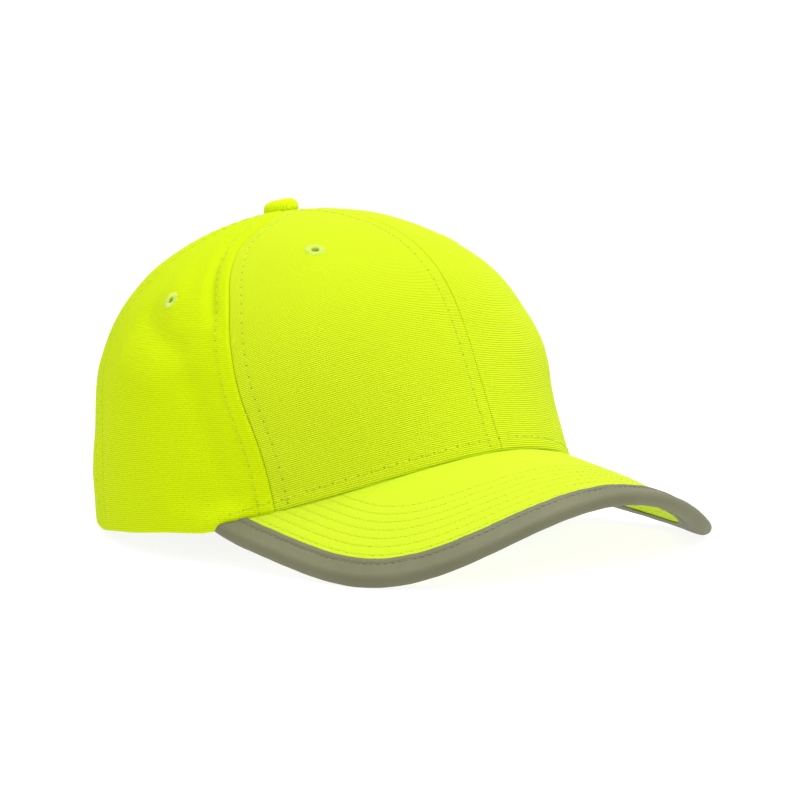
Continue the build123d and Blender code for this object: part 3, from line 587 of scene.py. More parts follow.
def stitches(into, path, normals, pitch, gap=0.9, radius=0.2, rise=0.16, sink=0.30, phase=0.0, seed=0, run=None):
    """Sewing thread along a path on a surface: one raised stitch per pitch, diving in at both ends."""
    p = np.asarray(path, float)
    if run is None:
        run = np.r_[0, np.cumsum(np.linalg.norm(np.diff(p, axis=0), axis=-1))]
    n = int((run[-1] - phase * pitch) // pitch)
    f = np.array([0.0, 0.10, 0.24, 0.42, 0.6, 0.78, 0.9, 1.0])
    bump = -sink + (sink + rise) * np.clip(1.25 * np.sin(math.pi * f), 0, 1) ** 0.7
    for k in range(n):
        s0 = (k + phase) * pitch + gap / 2
        s1 = (k + 1 + phase) * pitch - gap / 2
        s = s0 + (s1 - s0) * f
        c = np.stack([np.interp(s, run, p[:, i]) for i in range(3)], -1)
        q = unit(np.stack([np.interp(s, run, normals[:, i]) for i in range(3)], -1))
        t = unit(np.gradient(c, axis=0))
        lean = 0.07 * math.sin(2.1 * k + seed) + 0.05 * math.sin(5.3 * k + 2 * seed)
        c = c + q * bump[:, None] + np.cross(t, q) * (lean * (2 * f - 1))[:, None]
        rr = radius * (1 + 0.08 * math.sin(3.7 * k + seed)) * (0.72 + 0.28 * np.sin(math.pi * f))
        v, fc = tube(c, q, rr, 6)
        g = np.stack([np.repeat(s, 6), np.tile(np.arange(6.0), len(s)), np.zeros(len(s) * 6) + k], -1)
        into.add(v, fc, g)


# -------------------------------------------------------------------- materials
class Nodes:
    def __init__(self, name):
        self.mat = bpy.data.materials.new(name)
        self.mat.use_nodes = True
        self.t = self.mat.node_tree
        self.t.nodes.clear()
        self.out = self.t.nodes.new("ShaderNodeOutputMaterial")
        self.b = self.t.nodes.new("ShaderNodeBsdfPrincipled")
        self.link(self.b.outputs[0], self.out.inputs[0])

    def link(self, a, b):
        self.t.links.new(a, b)

    def node(self, kind, **props):
        n = self.t.nodes.new(kind)
        for k, v in props.items():
            setattr(n, k, v)
        return n

    def put(self, socket, value):
        if isinstance(value, bpy.types.NodeSocket):
            self.link(value, socket)
        else:
            socket.default_value = value

    def math(self, op, a, b=None, c=None, clamp=False):
        n = self.node("ShaderNodeMath", operation=op, use_clamp=clamp)
        self.put(n.inputs[0], a)
        if b is not None:
            self.put(n.inputs[1], b)
        if c is not None:
            self.put(n.inputs[2], c)
        return n.outputs[0]

    def ramp(self, x, lo, hi, a=0.0, b=1.0):
        n = self.node("ShaderNodeMapRange", interpolation_type="SMOOTHSTEP")
        self.put(n.inputs[0], x)
        for i, k in enumerate((lo, hi, a, b)):
            n.inputs[i + 1].default_value = k
        return n.outputs[0]

    def attr(self, name):
        n = self.node("ShaderNodeAttribute", attribute_name=name, attribute_type="GEOMETRY")
        return n.outputs["Vector"]

    def split(self, vector):
        n = self.node("ShaderNodeSeparateXYZ")
        self.link(vector, n.inputs[0])
        return n.outputs

    def noise(self, vector, scale, detail=2.0, rough=0.5):
        n = self.node("ShaderNodeTexNoise")
        if vector is not None:
            self.link(vector, n.inputs["Vector"])
        n.inputs["Scale"].default_value = scale
        n.inputs["Detail"].default_value = detail
        n.inputs["Roughness"].default_value = rough
        return n.outputs["Fac"]

    def mix(self, fac, a, b):
        n = self.node("ShaderNodeMix", data_type="RGBA")
        self.put(n.inputs[0], fac)
        self.put(n.inputs[6], a)
        self.put(n.inputs[7], b)
        return n.outputs[2]

    def bump(self, height, strength, distance, after=None):
        n = self.node("ShaderNodeBump")
        n.inputs["Strength"].default_value = strength
        n.inputs["Distance"].default_value = distance
        self.link(height, n.inputs["Height"])
        if after is not None:
            self.link(after, n.inputs["Normal"])
        return n.outputs[0]

    def object_coords(self):
        return self.node("ShaderNodeTexCoord").outputs["Object"]


def rgba(c, k=1.0):
    return (c[0] * k, c[1] * k, c[2] * k, 1.0)


# The hi-vis yellow; the small blue in it is painted sheen
HIVIS = (0.622, 0.775, 0.012)
THREAD = (0.60, 0.76, 0.014)


def weave(n, grain, rib, float_pitch, depth):
    """Height of a ribbed cloth: rounded ribs along x, crossed by short floats."""
    x, y, z = n.split(grain)
    wob = n.noise(grain, 0.35, 1.0)
    yy = n.math("ADD", y, n.math("MULTIPLY", wob, 0.22))
    cell = n.math("DIVIDE", yy, rib)
    row = n.math("FLOOR", cell)
    frac = n.math("SUBTRACT", cell, row)
    ribh = n.math("SINE", n.math("MULTIPLY", frac, math.pi))
    ribh = n.math("POWER", n.math("ABSOLUTE", ribh), 0.9)
    odd = n.math("MODULO", n.math("ABSOLUTE", row), 2.0)
    xx = n.math("ADD", n.math("DIVIDE", x, float_pitch), n.math("MULTIPLY", odd, 0.5))
    fl = n.math("SINE", n.math("MULTIPLY", xx, 2 * math.pi))
    fl = n.math("MULTIPLY_ADD", fl, 0.5 * depth, 1 - 0.5 * depth)
    return n.math("MULTIPLY", ribh, fl)


def cloth_material(name, colour, rib=0.72, float_pitch=0.62, depth=0.45, shade=0.50, crest=1.22, sheen=0.04,
                   bump=0.9, holes=True, rough=0.9, worn=0.03, fade=False, hole_shade=0.72):
    n = Nodes(name)
    grain = n.attr("grain")
    h = weave(n, grain, rib, float_pitch, depth)
    slub = n.noise(grain, 0.9, 2.0)
    cloud = n.noise(n.object_coords(), 28.0, 2.0)
    # Painted shade in the gaps between the ribs and a painted highlight on their crests, laid over the bump
    col = n.mix(n.ramp(h, 0.05, 0.95), rgba(colour, shade), rgba(colour, crest))
    # Towards the top the painted rib shade and highlight give way to one flat tone, standing in for the brightly lit
    # top washing out
    if fade:
        gx, gy, gz = n.split(grain)
        col = n.mix(n.ramp(gy, 45.0, 105.0, 0.0, 0.72), col, rgba(colour, 0.45 * shade + 0.48 * crest))
    col = n.mix(n.ramp(slub, 0.35, 0.75, 0.0, 0.16), col, rgba((colour[0] * 0.93, colour[1] * 0.95, colour[2] * 0.8)))
    col = n.mix(n.ramp(cloud, 0.30, 0.72, 0.0, worn * 4), col, rgba((colour[0] * 0.95, colour[1] * 0.97, colour[2])))
    height = n.math("ADD", n.math("MULTIPLY", h, 1.0), n.math("MULTIPLY", slub, 0.25))
    if holes:
        sx, sy, sz = n.split(n.attr("sew"))
        ph = n.math("SUBTRACT", n.math("FRACT", n.math("ADD", sy, 0.5)), 0.5)
        along = n.math("MULTIPLY", ph, STITCH)
        dist = n.math("SQRT", n.math("ADD", n.math("MULTIPLY", sx, sx), n.math("MULTIPLY", along, along)))
        hole = n.ramp(dist, 0.16, 0.46, 1.0, 0.0)
        # Painted shade: the needle holes are darkened, and the cloth a little along the trough of each stitch row
        col = n.mix(n.math("MULTIPLY", hole, hole_shade), col, rgba((colour[0] * 0.26, colour[1] * 0.34, 0.004)))
        trough_shade = n.ramp(sx, 0.1, 0.8, 0.08, 0.0)
        col = n.mix(trough_shade, col, rgba((colour[0] * 0.75, colour[1] * 0.8, colour[2])))
        height = n.math("SUBTRACT", height, n.math("MULTIPLY", hole, 1.2))
    n.put(n.b.inputs["Base Color"], col)
    n.b.inputs["Roughness"].default_value = rough
    n.b.inputs["Specular IOR Level"].default_value = 0.06
    n.b.inputs["Sheen Weight"].default_value = sheen
    n.b.inputs["Sheen Roughness"].default_value = 0.45
    n.b.inputs["Sheen Tint"].default_value = (0.95, 1.0, 0.55, 1.0)
    n.put(n.b.inputs["Normal"], n.bump(height, bump, 0.00012))
    return n.mat


def thread_material(name, colour, rough=0.55):
    n = Nodes(name)
    x, y, z = n.split(n.attr("grain"))
    twist = n.math("SINE", n.math("ADD", n.math("MULTIPLY", x, 9.0), n.math("MULTIPLY", y, 1.05)))
    tone = n.noise(n.object_coords(), 900.0, 1.0)
    col = n.mix(n.ramp(twist, -0.6, 0.8), rgba(colour, 0.86), rgba(colour, 1.04))
    col = n.mix(n.ramp(tone, 0.3, 0.8, 0.0, 0.25), col, rgba(colour, 0.88))
    n.put(n.b.inputs["Base Color"], col)
    n.b.inputs["Roughness"].default_value = rough
    n.b.inputs["Sheen Weight"].default_value = 0.1
    n.b.inputs["Specular IOR Level"].default_value = 0.2
    n.put(n.b.inputs["Normal"], n.bump(twist, 0.4, 0.00005))
    return n.mat


# These are copies of the one hi-vis cloth, with painted light in their differences: the side copy (side and rear
# panels) has almost no blue and flatter ribs, the peak copy a darker base with more blue, the button copy a brighter
# base; the blue stands in for sheen
M_CLOTH = cloth_material("hi_vis_cloth", HIVIS, fade=True)
M_SIDE = cloth_material("hi_vis_cloth_side", (0.606, 0.775, 0.0015), depth=0.22, shade=0.77, crest=1.05, fade=True, hole_shade=0.4, sheen=0.012)
M_BUTTON = cloth_material("button_cloth", (0.64, 0.80, 0.005), rib=0.72, depth=0.3, shade=0.84, crest=1.08)
M_PEAK = cloth_material("peak_cloth", (0.575, 0.735, 0.022), bump=0.6, shade=0.68, crest=1.13, depth=0.3, hole_shade=0.28)
M_TAPE = cloth_material("seam_tape_cloth", (0.58, 0.73, 0.012), rib=1.1, float_pitch=0.5, depth=0.25, holes=False, shade=0.8, crest=1.03)
M_BAND = cloth_material("sweatband_cloth", (0.56, 0.71, 0.012), rib=0.55, float_pitch=0.55, depth=0.8, holes=False, shade=0.7, crest=1.1, sheen=0.3, rough=0.92)
M_WEB = cloth_material("strap_cloth", (0.58, 0.74, 0.006), rib=0.9, float_pitch=0.7, depth=0.35, holes=False, shade=0.7, crest=1.08)
M_THREAD = thread_material("sewing_thread", THREAD)
M_EYELET = thread_material("eyelet_thread", (0.64, 0.82, 0.10))
M_GREY_THREAD = thread_material("grey_thread", (0.27, 0.27, 0.21))


def binding_material():
    n = Nodes("reflective_tape")
    grain = n.attr("grain")
    x, y, z = n.split(grain)
    beads = n.noise(grain, 5.5, 2.0, 0.6)
    fine = n.noise(grain, 1.6, 3.0, 0.6)
    cloud = n.noise(n.object_coords(), 45.0, 3.0)
    col = n.mix(n.ramp(cloud, 0.3, 0.7), rgba((0.158, 0.158, 0.088)), rgba((0.184, 0.182, 0.106)))
    col = n.mix(n.ramp(beads, 0.35, 0.7, 0.0, 0.35), col, rgba((0.130, 0.130, 0.075)))
    n.put(n.b.inputs["Base Color"], col)
    n.b.inputs["Metallic"].default_value = 0.1
    n.put(n.b.inputs["Roughness"], n.ramp(cloud, 0.2, 0.8, 0.58, 0.70))
    n.b.inputs["Specular IOR Level"].default_value = 0.35
    h = n.math("ADD", n.math("MULTIPLY", beads, 0.5), n.math("MULTIPLY", fine, 0.8))
    n.put(n.b.inputs["Normal"], n.bump(h, 0.35, 0.00012))
    return n.mat


def plain_material(name, colour, rough, scale, bump, distance, spec=0.4, metallic=0.0, vary=0.2, coords="object"):
    n = Nodes(name)
    c = n.object_coords() if coords == "object" else n.attr("grain")
    a = n.noise(c, scale, 3.0, 0.6)
    b = n.noise(c, scale * 0.06, 2.0)
    col = n.mix(n.ramp(a, 0.3, 0.7), rgba(colour, 1 - vary), rgba(colour, 1 + 0.4 * vary))
    col = n.mix(n.ramp(b, 0.35, 0.7, 0.0, 0.4), col, rgba(colour, 1 - 0.6 * vary))
    n.put(n.b.inputs["Base Color"], col)
    n.put(n.b.inputs["Roughness"], n.ramp(b, 0.3, 0.7, max(0.05, rough - 0.06), min(1.0, rough + 0.06)))
    n.b.inputs["Metallic"].default_value = metallic
    n.b.inputs["Specular IOR Level"].default_value = spec
    n.put(n.b.inputs["Normal"], n.bump(a, bump, distance))
    return n.mat


def pile_material(name, colour, hooks):
    n = Nodes(name)
    g = n.attr("grain")
    v = n.node("ShaderNodeTexVoronoi", feature="F1")
    n.link(g, v.inputs["Vector"])
    v.inputs["Scale"].default_value = 1.9 if hooks else 1.1
    v.inputs["Randomness"].default_value = 0.25 if hooks else 1.0
    d = v.outputs["Distance"]
    fuzz = n.noise(g, 3.0, 3.0, 0.7)
    h = n.math("ADD", n.ramp(d, 0.05, 0.5, 1.0, 0.0), n.math("MULTIPLY", fuzz, 0.5))
    col = n.mix(n.ramp(h, 0.2, 1.2), rgba(colour, 0.5), rgba(colour, 1.5))
    n.put(n.b.inputs["Base Color"], col)
    n.b.inputs["Roughness"].default_value = 0.7 if hooks else 0.95
    n.b.inputs["Sheen Weight"].default_value = 0.0 if hooks else 0.6
    n.put(n.b.inputs["Normal"], n.bump(h, 0.9, 0.0004))
    return n.mat


M_BINDING = binding_material()
M_FOAM = plain_material("closed_cell_foam", (0.028, 0.028, 0.030), 0.85, 1500.0, 0.5, 0.00015, spec=0.3, vary=0.3)
M_SHELL = plain_material("moulded_abs", (0.022, 0.023, 0.025), 0.42, 2600.0, 0.30, 0.00006, spec=0.5, vary=0.15)
M_BOARD = plain_material("peak_board_plastic", (0.72, 0.72, 0.70), 0.5, 900.0, 0.2, 0.00008, spec=0.4, vary=0.05)
M_METAL = plain_material("tinned_steel", (0.60, 0.60, 0.58), 0.32, 700.0, 0.15, 0.00004, metallic=1.0, vary=0.1)
M_LOOP = pile_material("loop_pile", (0.035, 0.035, 0.037), False)
M_HOOK = pile_material("hook_field", (0.030, 0.030, 0.032), True)


def buckram_material():
    n = Nodes("stiff_buckram")
    x, y, z = n.split(n.attr("grain"))
    u = n.math("ABSOLUTE", n.math("SINE", n.math("MULTIPLY", x, math.pi / 1.25)))
    v = n.math("ABSOLUTE", n.math("SINE", n.math("MULTIPLY", y, math.pi / 1.25)))
    open_ = n.math("MULTIPLY", n.ramp(u, 0.35, 0.75), n.ramp(v, 0.35, 0.75))
    tone = n.noise(n.attr("grain"), 1.2, 2.0)
    col = n.mix(n.ramp(tone, 0.3, 0.7), rgba((0.74, 0.75, 0.68)), rgba((0.82, 0.82, 0.76)))
    col = n.mix(open_, col, rgba((0.42, 0.53, 0.02)))
    n.put(n.b.inputs["Base Color"], col)
    n.b.inputs["Roughness"].default_value = 0.75
    n.put(n.b.inputs["Normal"], n.bump(n.math("SUBTRACT", 1.0, open_), 0.8, 0.0003))
    return n.mat


M_BUCKRAM = buckram_material()


# ----------------------------------------------------------------- grain of cloth
def grain_for(points, line, offset=(0.0, 0.0)):
    """Cloth coordinates in mm: y along the cut's middle line, x square to it."""
    line = np.asarray(line, float)
    run = np.r_[0, np.cumsum(np.linalg.norm(np.diff(line, axis=0), axis=-1))]
    tan = unit(np.gradient(line, axis=0))
    flat = points.reshape(-1, 3)
    out = np.zeros((len(flat), 3))
    for k in range(0, len(flat), 20000):
        p = flat[k:k + 20000]
        f = ((p[:, None] - line[None]) * tan[None]).sum(-1)
        j = np.clip((f > 0).sum(1) - 1, 0, len(line) - 2)
        f0, f1 = f[np.arange(len(p)), j], f[np.arange(len(p)), j + 1]
        t = f0 / np.where(np.abs(f0 - f1) < 1e-9, 1e-9, f0 - f1)
        t = np.clip(t, -30, 31)
        s = run[j] + t * (run[j + 1] - run[j])
        c = line[j] + np.clip(t, 0, 1)[:, None] * (line[j + 1] - line[j])
        d = p - c
        tt = tan[j]
        d = d - (d * tt).sum(-1, keepdims=True) * tt
        outn = unit(c - np.array([0, APEX_SETBACK * 0.6, 35.0]))
        sideways = unit(np.cross(tt, outn))
        x = np.linalg.norm(d, axis=-1) * np.sign((d * sideways).sum(-1)) * 1.06
        out[k:k + 20000] = np.stack([x + offset[0], s + offset[1], np.zeros(len(p))], -1)
    return out.reshape(points.shape)


# ----------------------------------------------------------------- crown panels
NEAR = np.array([0.06, 0.16, 0.32, 0.55, 0.85, 1.3, 1.9, 2.6, 3.4, 4.0, 4.4, 4.75, 5.0, 5.25, 5.6, 6.1, 6.8, 7.6, 8.6])
LOW = np.array([0.0, 0.2, 0.45, 0.63, 0.75, 0.9, 1.1, 1.35, 1.7, 2.2, 3.0, 3.7, 4.2, 4.6, 4.85, 5.15, 5.4, 5.8, 6.4, 7.2, 8.2])


def columns(width, count, near=NEAR):
    """Distances across a panel of that width, fine beside both seams."""
    k = np.minimum(1.0, 0.42 * width / near[-1])
    e = near[None, :] * k[:, None]
    m = np.linspace(0, 1, count + 2)[1:-1]
    inner = e[:, -1:] + (width[:, None] - 2 * e[:, -1:]) * m[None]
    return np.concatenate([e, inner, width[:, None] - e[:, ::-1]], 1)


def panel_grid(left, right, mirror=False, middle=46, rows=150, hole=3.6, bottom=None):
    """(theta, v) grids of a panel, columns first."""
    mid = 0.5 * (float(left(0.5)) + float(right(0.5)))
    wt = float(top_w(mid, hole))
    tt = np.linspace(0, 1, rows)
    run_mid = np.linalg.norm(np.diff(crown_raw(mid, v_at(mid, np.linspace(0, wt, 200))), axis=0), axis=-1).sum()
    low = LOW / run_mid
    w = np.r_[low, low[-1] + (wt - low[-1]) * np.linspace(0, 1, rows + 1)[1:]]
    a, b = left(w), right(w)
    thm = 0.5 * (a + b)
    width = np.radians(b - a) * radius_at(thm, v_at(thm, w))
    d = columns(width, middle)
    th = a[:, None] + (b - a)[:, None] * d / width[:, None]
    ww = np.minimum(w[:, None] + 0 * th, 1)
    scale = top_w(th, hole) / wt
    v = v_at(th, ww * (1 + (scale - 1) * smooth(ww, 0.8, 1.0)))
    th, v = th.T, v.T
    if mirror:
        th = -th
    return th, v


def wrapped_shell(name, th, v, material, line, thick=0.9):
    lift, near, phase = relief(th, v, parts=True)
    n = crown_normal(th, v)
    base = crown_raw(th, v)
    outer = base + n * lift[..., None]
    inner = base + n * (-thick + np.clip(lift, -0.6, 0.9))[..., None]
    g = grain_for(base, line)
    sew = np.stack([near, phase, np.zeros_like(near)], -1)
    return shell(name, outer, inner, material, {"grain": g, "sew": sew}, round_w=0.4, round_u=0.05, punched=True)


def mid_line(left, right, sign=1):
    w = np.linspace(-0.02, 0.985, 160)
    th = 0.5 * (left(w) + right(w))
    k = np.exp(-0.5 * (np.arange(-24, 25) / 10.0) ** 2)
    th = sign * np.convolve(np.pad(th, 24, mode="reflect", reflect_type="odd"), k / k.sum(), "valid")
    return crown_raw(th, v_at(th, w))


def zero(w):
    return 0.0 * np.asarray(w, float)


def rear_line(w):
    return REAR_SEAM + 0.0 * np.asarray(w, float)


def back_line(w):
    return 180.0 + 0.0 * np.asarray(w, float)


def side_line(sign):
    """Upright line up the side panel, square to the rim."""
    z = np.linspace(-2, 110.5, 170)
    v = v_of(z)
    th = np.full(len(z), 90.0)
    for _ in range(60):
        th = 0.5 * th + 0.5 * np.degrees(np.arccos(np.clip((APEX_SETBACK * z / CROWN_HEIGHT - 9.0) / np.maximum(radius_at(th, v), 1), -1, 1)))
    return crown_raw(sign * th, v)


for side, mirror in (("left", False), ("right", True)):
    sg = -1 if mirror else 1
    th, v = panel_grid(zero, side_seam, mirror, middle=52)
    o = wrapped_shell("cloth_front_" + side, th, v, M_CLOTH, mid_line(zero, plain_seam, sg))
    finish_piece(o, "root", ["front_panel_" + side])
    th, v = panel_grid(side_seam, rear_line, mirror, middle=56)
    o = wrapped_shell("cloth_side_" + side, th, v, M_SIDE, side_line(sg))
    finish_piece(o, "root", ["side_panel_" + side])


# The rear panels are cut away round the arch over the strap.
def theta_for_x(x, z):
    """Angle near the rear where the crown has that x at that height."""
    v = v_of(z)
    th = 180 - np.degrees(np.arcsin(np.clip(x / 100, -1, 1)))
    for _ in range(12):
        r = radius_at(th, v)
        th = 180 - np.degrees(np.arcsin(np.clip(x / r, -1, 1)))
    return th, v


def arch_curve(grow=0.0, n=81, start=0.0):
    """Half of the arch from its foot on the +X side to its top: (theta, v)."""
    a, b = ARCH_W / 2 + grow, ARCH_H + grow
    f = np.linspace(0, 1, n)
    ang = np.radians(90 * f)
    x, z = a * np.cos(ang), REAR_RISE + b * np.sin(ang)
    return theta_for_x(x, z)


def rear_grid(mirror, middle=60, rows=130, hole=3.6):
    """(theta, v) grid of a rear panel: rim, then round the arch, up to the apex."""
    k = len(NEAR)
    r0 = float(radius_at(REAR_SEAM, rim_v(REAR_SEAM)))
    l_th = REAR_SEAM + np.degrees(NEAR / r0)
    l_v = rim_v(l_th)
    xs = NEAR[::-1]
    zs = REAR_RISE + ARCH_H * np.sqrt(1 - (xs / (ARCH_W / 2)) ** 2)
    r_th, r_v = theta_for_x(xs, zs)
    ath, av = arch_curve(0.0, 600)
    stop = np.argmax(ath > r_th[0])
    ath, av = np.r_[ath[:stop], r_th[0]], np.r_[av[:stop], r_v[0]]
    rt = np.linspace(l_th[-1], ath[0], 200)
    bt, bv = np.r_[rt[:-1], ath], np.r_[rim_v(rt[:-1]), av]
    bp = crown_raw(bt, bv)
    run = np.r_[0, np.cumsum(np.linalg.norm(np.diff(bp, axis=0), axis=-1))]
    corner = run[len(rt) - 1]
    f = np.linspace(0, run[-1], middle + 2)
    c = int(np.argmin(np.abs(f - corner)))
    f = np.r_[np.linspace(0, corner, c + 1)[:-1], np.linspace(corner, run[-1], middle + 2 - c)]
    m_th, m_v = np.interp(f, run, bt)[1:-1], np.interp(f, run, bv)[1:-1]
    s_th = np.r_[l_th, m_th, r_th]
    s_v = np.r_[l_v, m_v, r_v]
    s_w = along_w(s_th, s_v)
    mid = 0.5 * (REAR_SEAM + 180)
    wt = float(top_w(mid, hole))
    vt = float(v_at(mid, wt))
    width_t = math.radians(180 - REAR_SEAM) * float(radius_at(mid, vt))
    near = NEAR * min(1.0, 0.42 * width_t / NEAR[-1])
    e_d = np.r_[near, near[-1] + (width_t - 2 * near[-1]) * np.linspace(0, 1, middle + 2)[1:-1], width_t - near[::-1]]
    e_w = top_w(REAR_SEAM + (180 - REAR_SEAM) * e_d / width_t, hole)
    tt = np.r_[0.0, 0.003, 0.008, 0.015, 0.024, 0.035, 0.035 + 0.965 * np.linspace(0, 1, rows)[1:]]
    w = s_w[:, None] + (e_w - s_w)[:, None] * tt[None]
    th = s_th[:, None] + 0 * w
    for _ in range(3):
        r = np.maximum(radius_at(th, v_at(th, w)), 2.0)
        width = np.radians(180 - REAR_SEAM) * r
        scale = np.minimum(1.0, 0.42 * width / NEAR[-1])
        left = REAR_SEAM + np.degrees(NEAR[:, None] * scale[:k] / r[:k])
        right = 180 - np.degrees(NEAR[::-1][:, None] * scale[-k:] / r[-k:])
        g = np.linspace(0, 1, middle + 2)[1:-1][:, None]
        plain = left[-1][None] * (1 - g) + right[0][None] * g
        q = 1 - (1 - tt[None]) ** 2
        share = (m_th - left[-1][0]) / (right[0][0] - left[-1][0])
        mixed = share[:, None] * (1 - q) + g * q
        th[:k], th[-k:] = left, right
        th[k:-k] = left[-1][None] * (1 - mixed) + right[0][None] * mixed
        th[-k:, 0] = r_th
    v = v_at(th, w)
    v[:, 0] = s_v
    if mirror:
        th = -th
    return th, v


for side, mirror in (("left", False), ("right", True)):
    sg = -1 if mirror else 1
    th, v = rear_grid(mirror)
    o = wrapped_shell("cloth_rear_" + side, th, v, M_SIDE, mid_line(rear_line, back_line, sg))
    finish_piece(o, "root", ["rear_panel_" + side])

# ------------------------------------------------------------- stitches of crown
for k, (name, f) in enumerate(SEAMS.items()):
    c = Collector()
    top = 0.93
    if name == "rear":
        z0 = REAR_RISE + ARCH_H + 1.0
        w0 = float(along_w(180.0, v_of(z0)))
    else:
        w0 = 0.006
    for side, sg in (("a", 1), ("b", -1)):
        row = SIDES[name][0 if sg > 0 else 1][3]
        w = np.linspace(w0, top, 700)
        r = radius_at(f(w), v_at(f(w), w))
        th = f(w) + sg * np.degrees(row / r)
        v = v_at(th, w)
        p = cloth_point(th, v)
        n = crown_normal(th, v)
        off = 0.37 * (0 if sg > 0 else 1) + 0.21 * k
        at = np.interp(w, _ws, SEAM_RUN[name])
        ph = (-(at[0] / STITCH + off)) % 1.0
        low = name == "front" and sg > 0
        stitches(c, p, n, STITCH, gap=0.45 if low else 0.7, radius=0.13 if low else 0.16, rise=0.03 if low else 0.10, sink=0.25, phase=ph, seed=k + 3 * sg, run=at - at[0])
    o = c.make("thread_" + name, M_THREAD)
    finish_piece(o, "root")

c = Collector()
th = np.linspace(-74.8, 74.8, 1080)
v = rim_v(th)
for _ in range(6):
    e = crown_height_above_rim(th, v)
    v = v + (hem_row(th) - e) * 0.0042
p, n = cloth_point(th, v), crown_normal(th, v)
at = np.interp(th, HEM_T, HEM_RUN)
stitches(c, p, n, HEM_STITCH, gap=0.95, radius=0.17, rise=0.11, sink=0.25, phase=(-at[0] / HEM_STITCH) % 1.0, seed=11, run=at - at[0])
o = c.make("thread_hem", M_THREAD)
finish_piece(o, "root")


# ---------------------------------------------------------------------- eyelets
def eyelet(into, theta, zf):
    v = 1 - math.sqrt(1 - zf)
    per_th = (crown_raw(theta + 0.5, v) - crown_raw(theta - 0.5, v)).ravel()
    per_v = (crown_raw(theta, v + 0.005) - crown_raw(theta, v - 0.005)).ravel() / 0.01
    side = 1.0 if np.dot(np.cross(per_th, per_v), crown_normal(theta, v).ravel()) > 0 else -1.0
    k_th, k_v = side / np.linalg.norm(per_th), 1 / np.linalg.norm(per_v)

    def on_cloth(a, r, h):
        """Points and outward directions at that bearing and distance from the hole, on the cloth."""
        t, u = theta + r * np.cos(a) * k_th, v + r * np.sin(a) * k_v
        n = crown_normal(t, u)
        return cloth_point(t, u) + n * (h + 0.04)[..., None], n

    # a low padded ring under the thread
    ang = np.linspace(0, 2 * math.pi, 49)[:-1]
    prof = np.array([(1.62, -2.6), (1.55, -0.9), (1.55, -0.1), (1.75, 0.05), (2.4, 0.09), (3.1, 0.06), (3.65, -0.03), (3.8, -0.4)])
    ring = on_cloth(ang[:, None] + 0 * prof[None, :, 0], prof[None, :, 0] + 0 * ang[:, None], prof[None, :, 1] + 0 * ang[:, None])[0]
    nn, m = ring.shape[:2]
    idx = np.arange(nn * m).reshape(nn, m)
    fc = []
    for i in range(nn):
        j = (i + 1) % nn
        for k in range(m - 1):
            fc.append((idx[i, k], idx[j, k], idx[j, k + 1], idx[i, k + 1]))
        fc.append((idx[i, m - 1], idx[j, m - 1], idx[j, 0], idx[i, 0]))
    into.add(ring.reshape(-1, 3), [f[::-1] for f in fc], np.zeros((nn * m, 3)))
    count = 30
    for i in range(count):
        a = 2 * math.pi * i / count + 0.03 * math.sin(7 * i)
        out = 3.8 + 0.16 * math.sin(3.1 * i) + 0.12 * math.sin(1.3 * i)
        rr = np.array([1.40, 1.42, 1.6, 2.1, 2.8, 3.4, out - 0.2, out])
        hh = np.array([-1.6, -0.25, 0.04, 0.11, 0.12, 0.08, -0.03, -0.3])
        pts, n = on_cloth(a + 0 * rr, rr, hh)
        rad = unit(pts[5] - pts[2])
        nr = n + rad * np.array([-1, -0.8, -0.4, 0, 0, 0.2, 0.5, 0.6])[:, None]
        wd = np.array([0.15, 0.16, 0.18, 0.22, 0.27, 0.30, 0.28, 0.18])
        vv, ff = tube(pts, nr, wd, 6, flatten=0.7)
        g = np.stack([np.repeat(rr, 6), np.tile(np.arange(6.0), len(rr)), np.zeros(len(rr) * 6) + i], -1)
        into.add(vv, ff, g)


for (theta, zf), name in zip(EYELETS, ("front", "side", "rear")):
    c = Collector()
    eyelet(c, theta, zf)
    eyelet(c, -theta, zf)
    o = c.make("thread_eyelets_" + name, M_EYELET)
    finish_piece(o, "root", [name + "_eyelets"])


# ----------------------------------------------------------------------- button
def button():
    prof = [(0.0, 4.95), (1.2, 4.93), (2.4, 4.88), (3.5, 4.76), (4.5, 4.52), (5.3, 4.12), (5.95, 3.5), (6.4, 2.75), (6.65, 1.95),
            (6.7, 1.2), (6.55, 0.55), (6.2, 0.05), (5.6, -0.3), (4.8, -0.5), (4.0, -0.55)]
    n = 84
    lean = unit(np.array([-0.728 * 0.105, 0.686 * 0.105, 1.0]))
    ex = unit(np.cross(np.array([0, 1.0, 0]), lean))
    ey = np.cross(lean, ex)
    foot = np.array([0, APEX_SETBACK, CROWN_HEIGHT - 0.55])
    verts, grain = [foot + lean * prof[0][1]], [(0, 0, 0)]
    for r, h in prof[1:]:
        fold = 0.16 * float(smooth(r, 4.6, 6.5)) * (1.0 if h < 2.6 else 0.45)
        for k in range(n):
            a = k * 2 * math.pi / n
            q = r * (1 + 0.012 * math.sin(3 * a + 1)) + fold * (math.sin(13 * a + 0.9 * math.sin(3 * a)) * 0.4 - 0.3)
            hh = h + 0.06 * math.sin(2 * a + 0.5) * (h > 2)
            verts.append(foot + ex * (q * math.sin(a)) - ey * (q * math.cos(a)) + lean * hh)
            grain.append((r * math.sin(a) * 1.15, r * math.cos(a) * 1.15, 0))
    faces = [(0, 1 + i, 1 + (i + 1) % n) for i in range(n)]
    for k in range(len(prof) - 2):
        b = 1 + k * n
        faces += [(b + i, b + n + i, b + n + (i + 1) % n, b + (i + 1) % n) for i in range(n)]
    b = 1 + (len(prof) - 2) * n
    faces.append(tuple(b + i for i in range(n)))
    sew = np.zeros((len(verts), 3))
    sew[:, 0] = 99
    return new_object("button_cloth", place(np.array(verts)), [f[::-1] for f in faces], M_BUTTON, {"grain": np.array(grain), "sew": sew})


o = button()
finish_piece(o, "root", ["button_cover"])


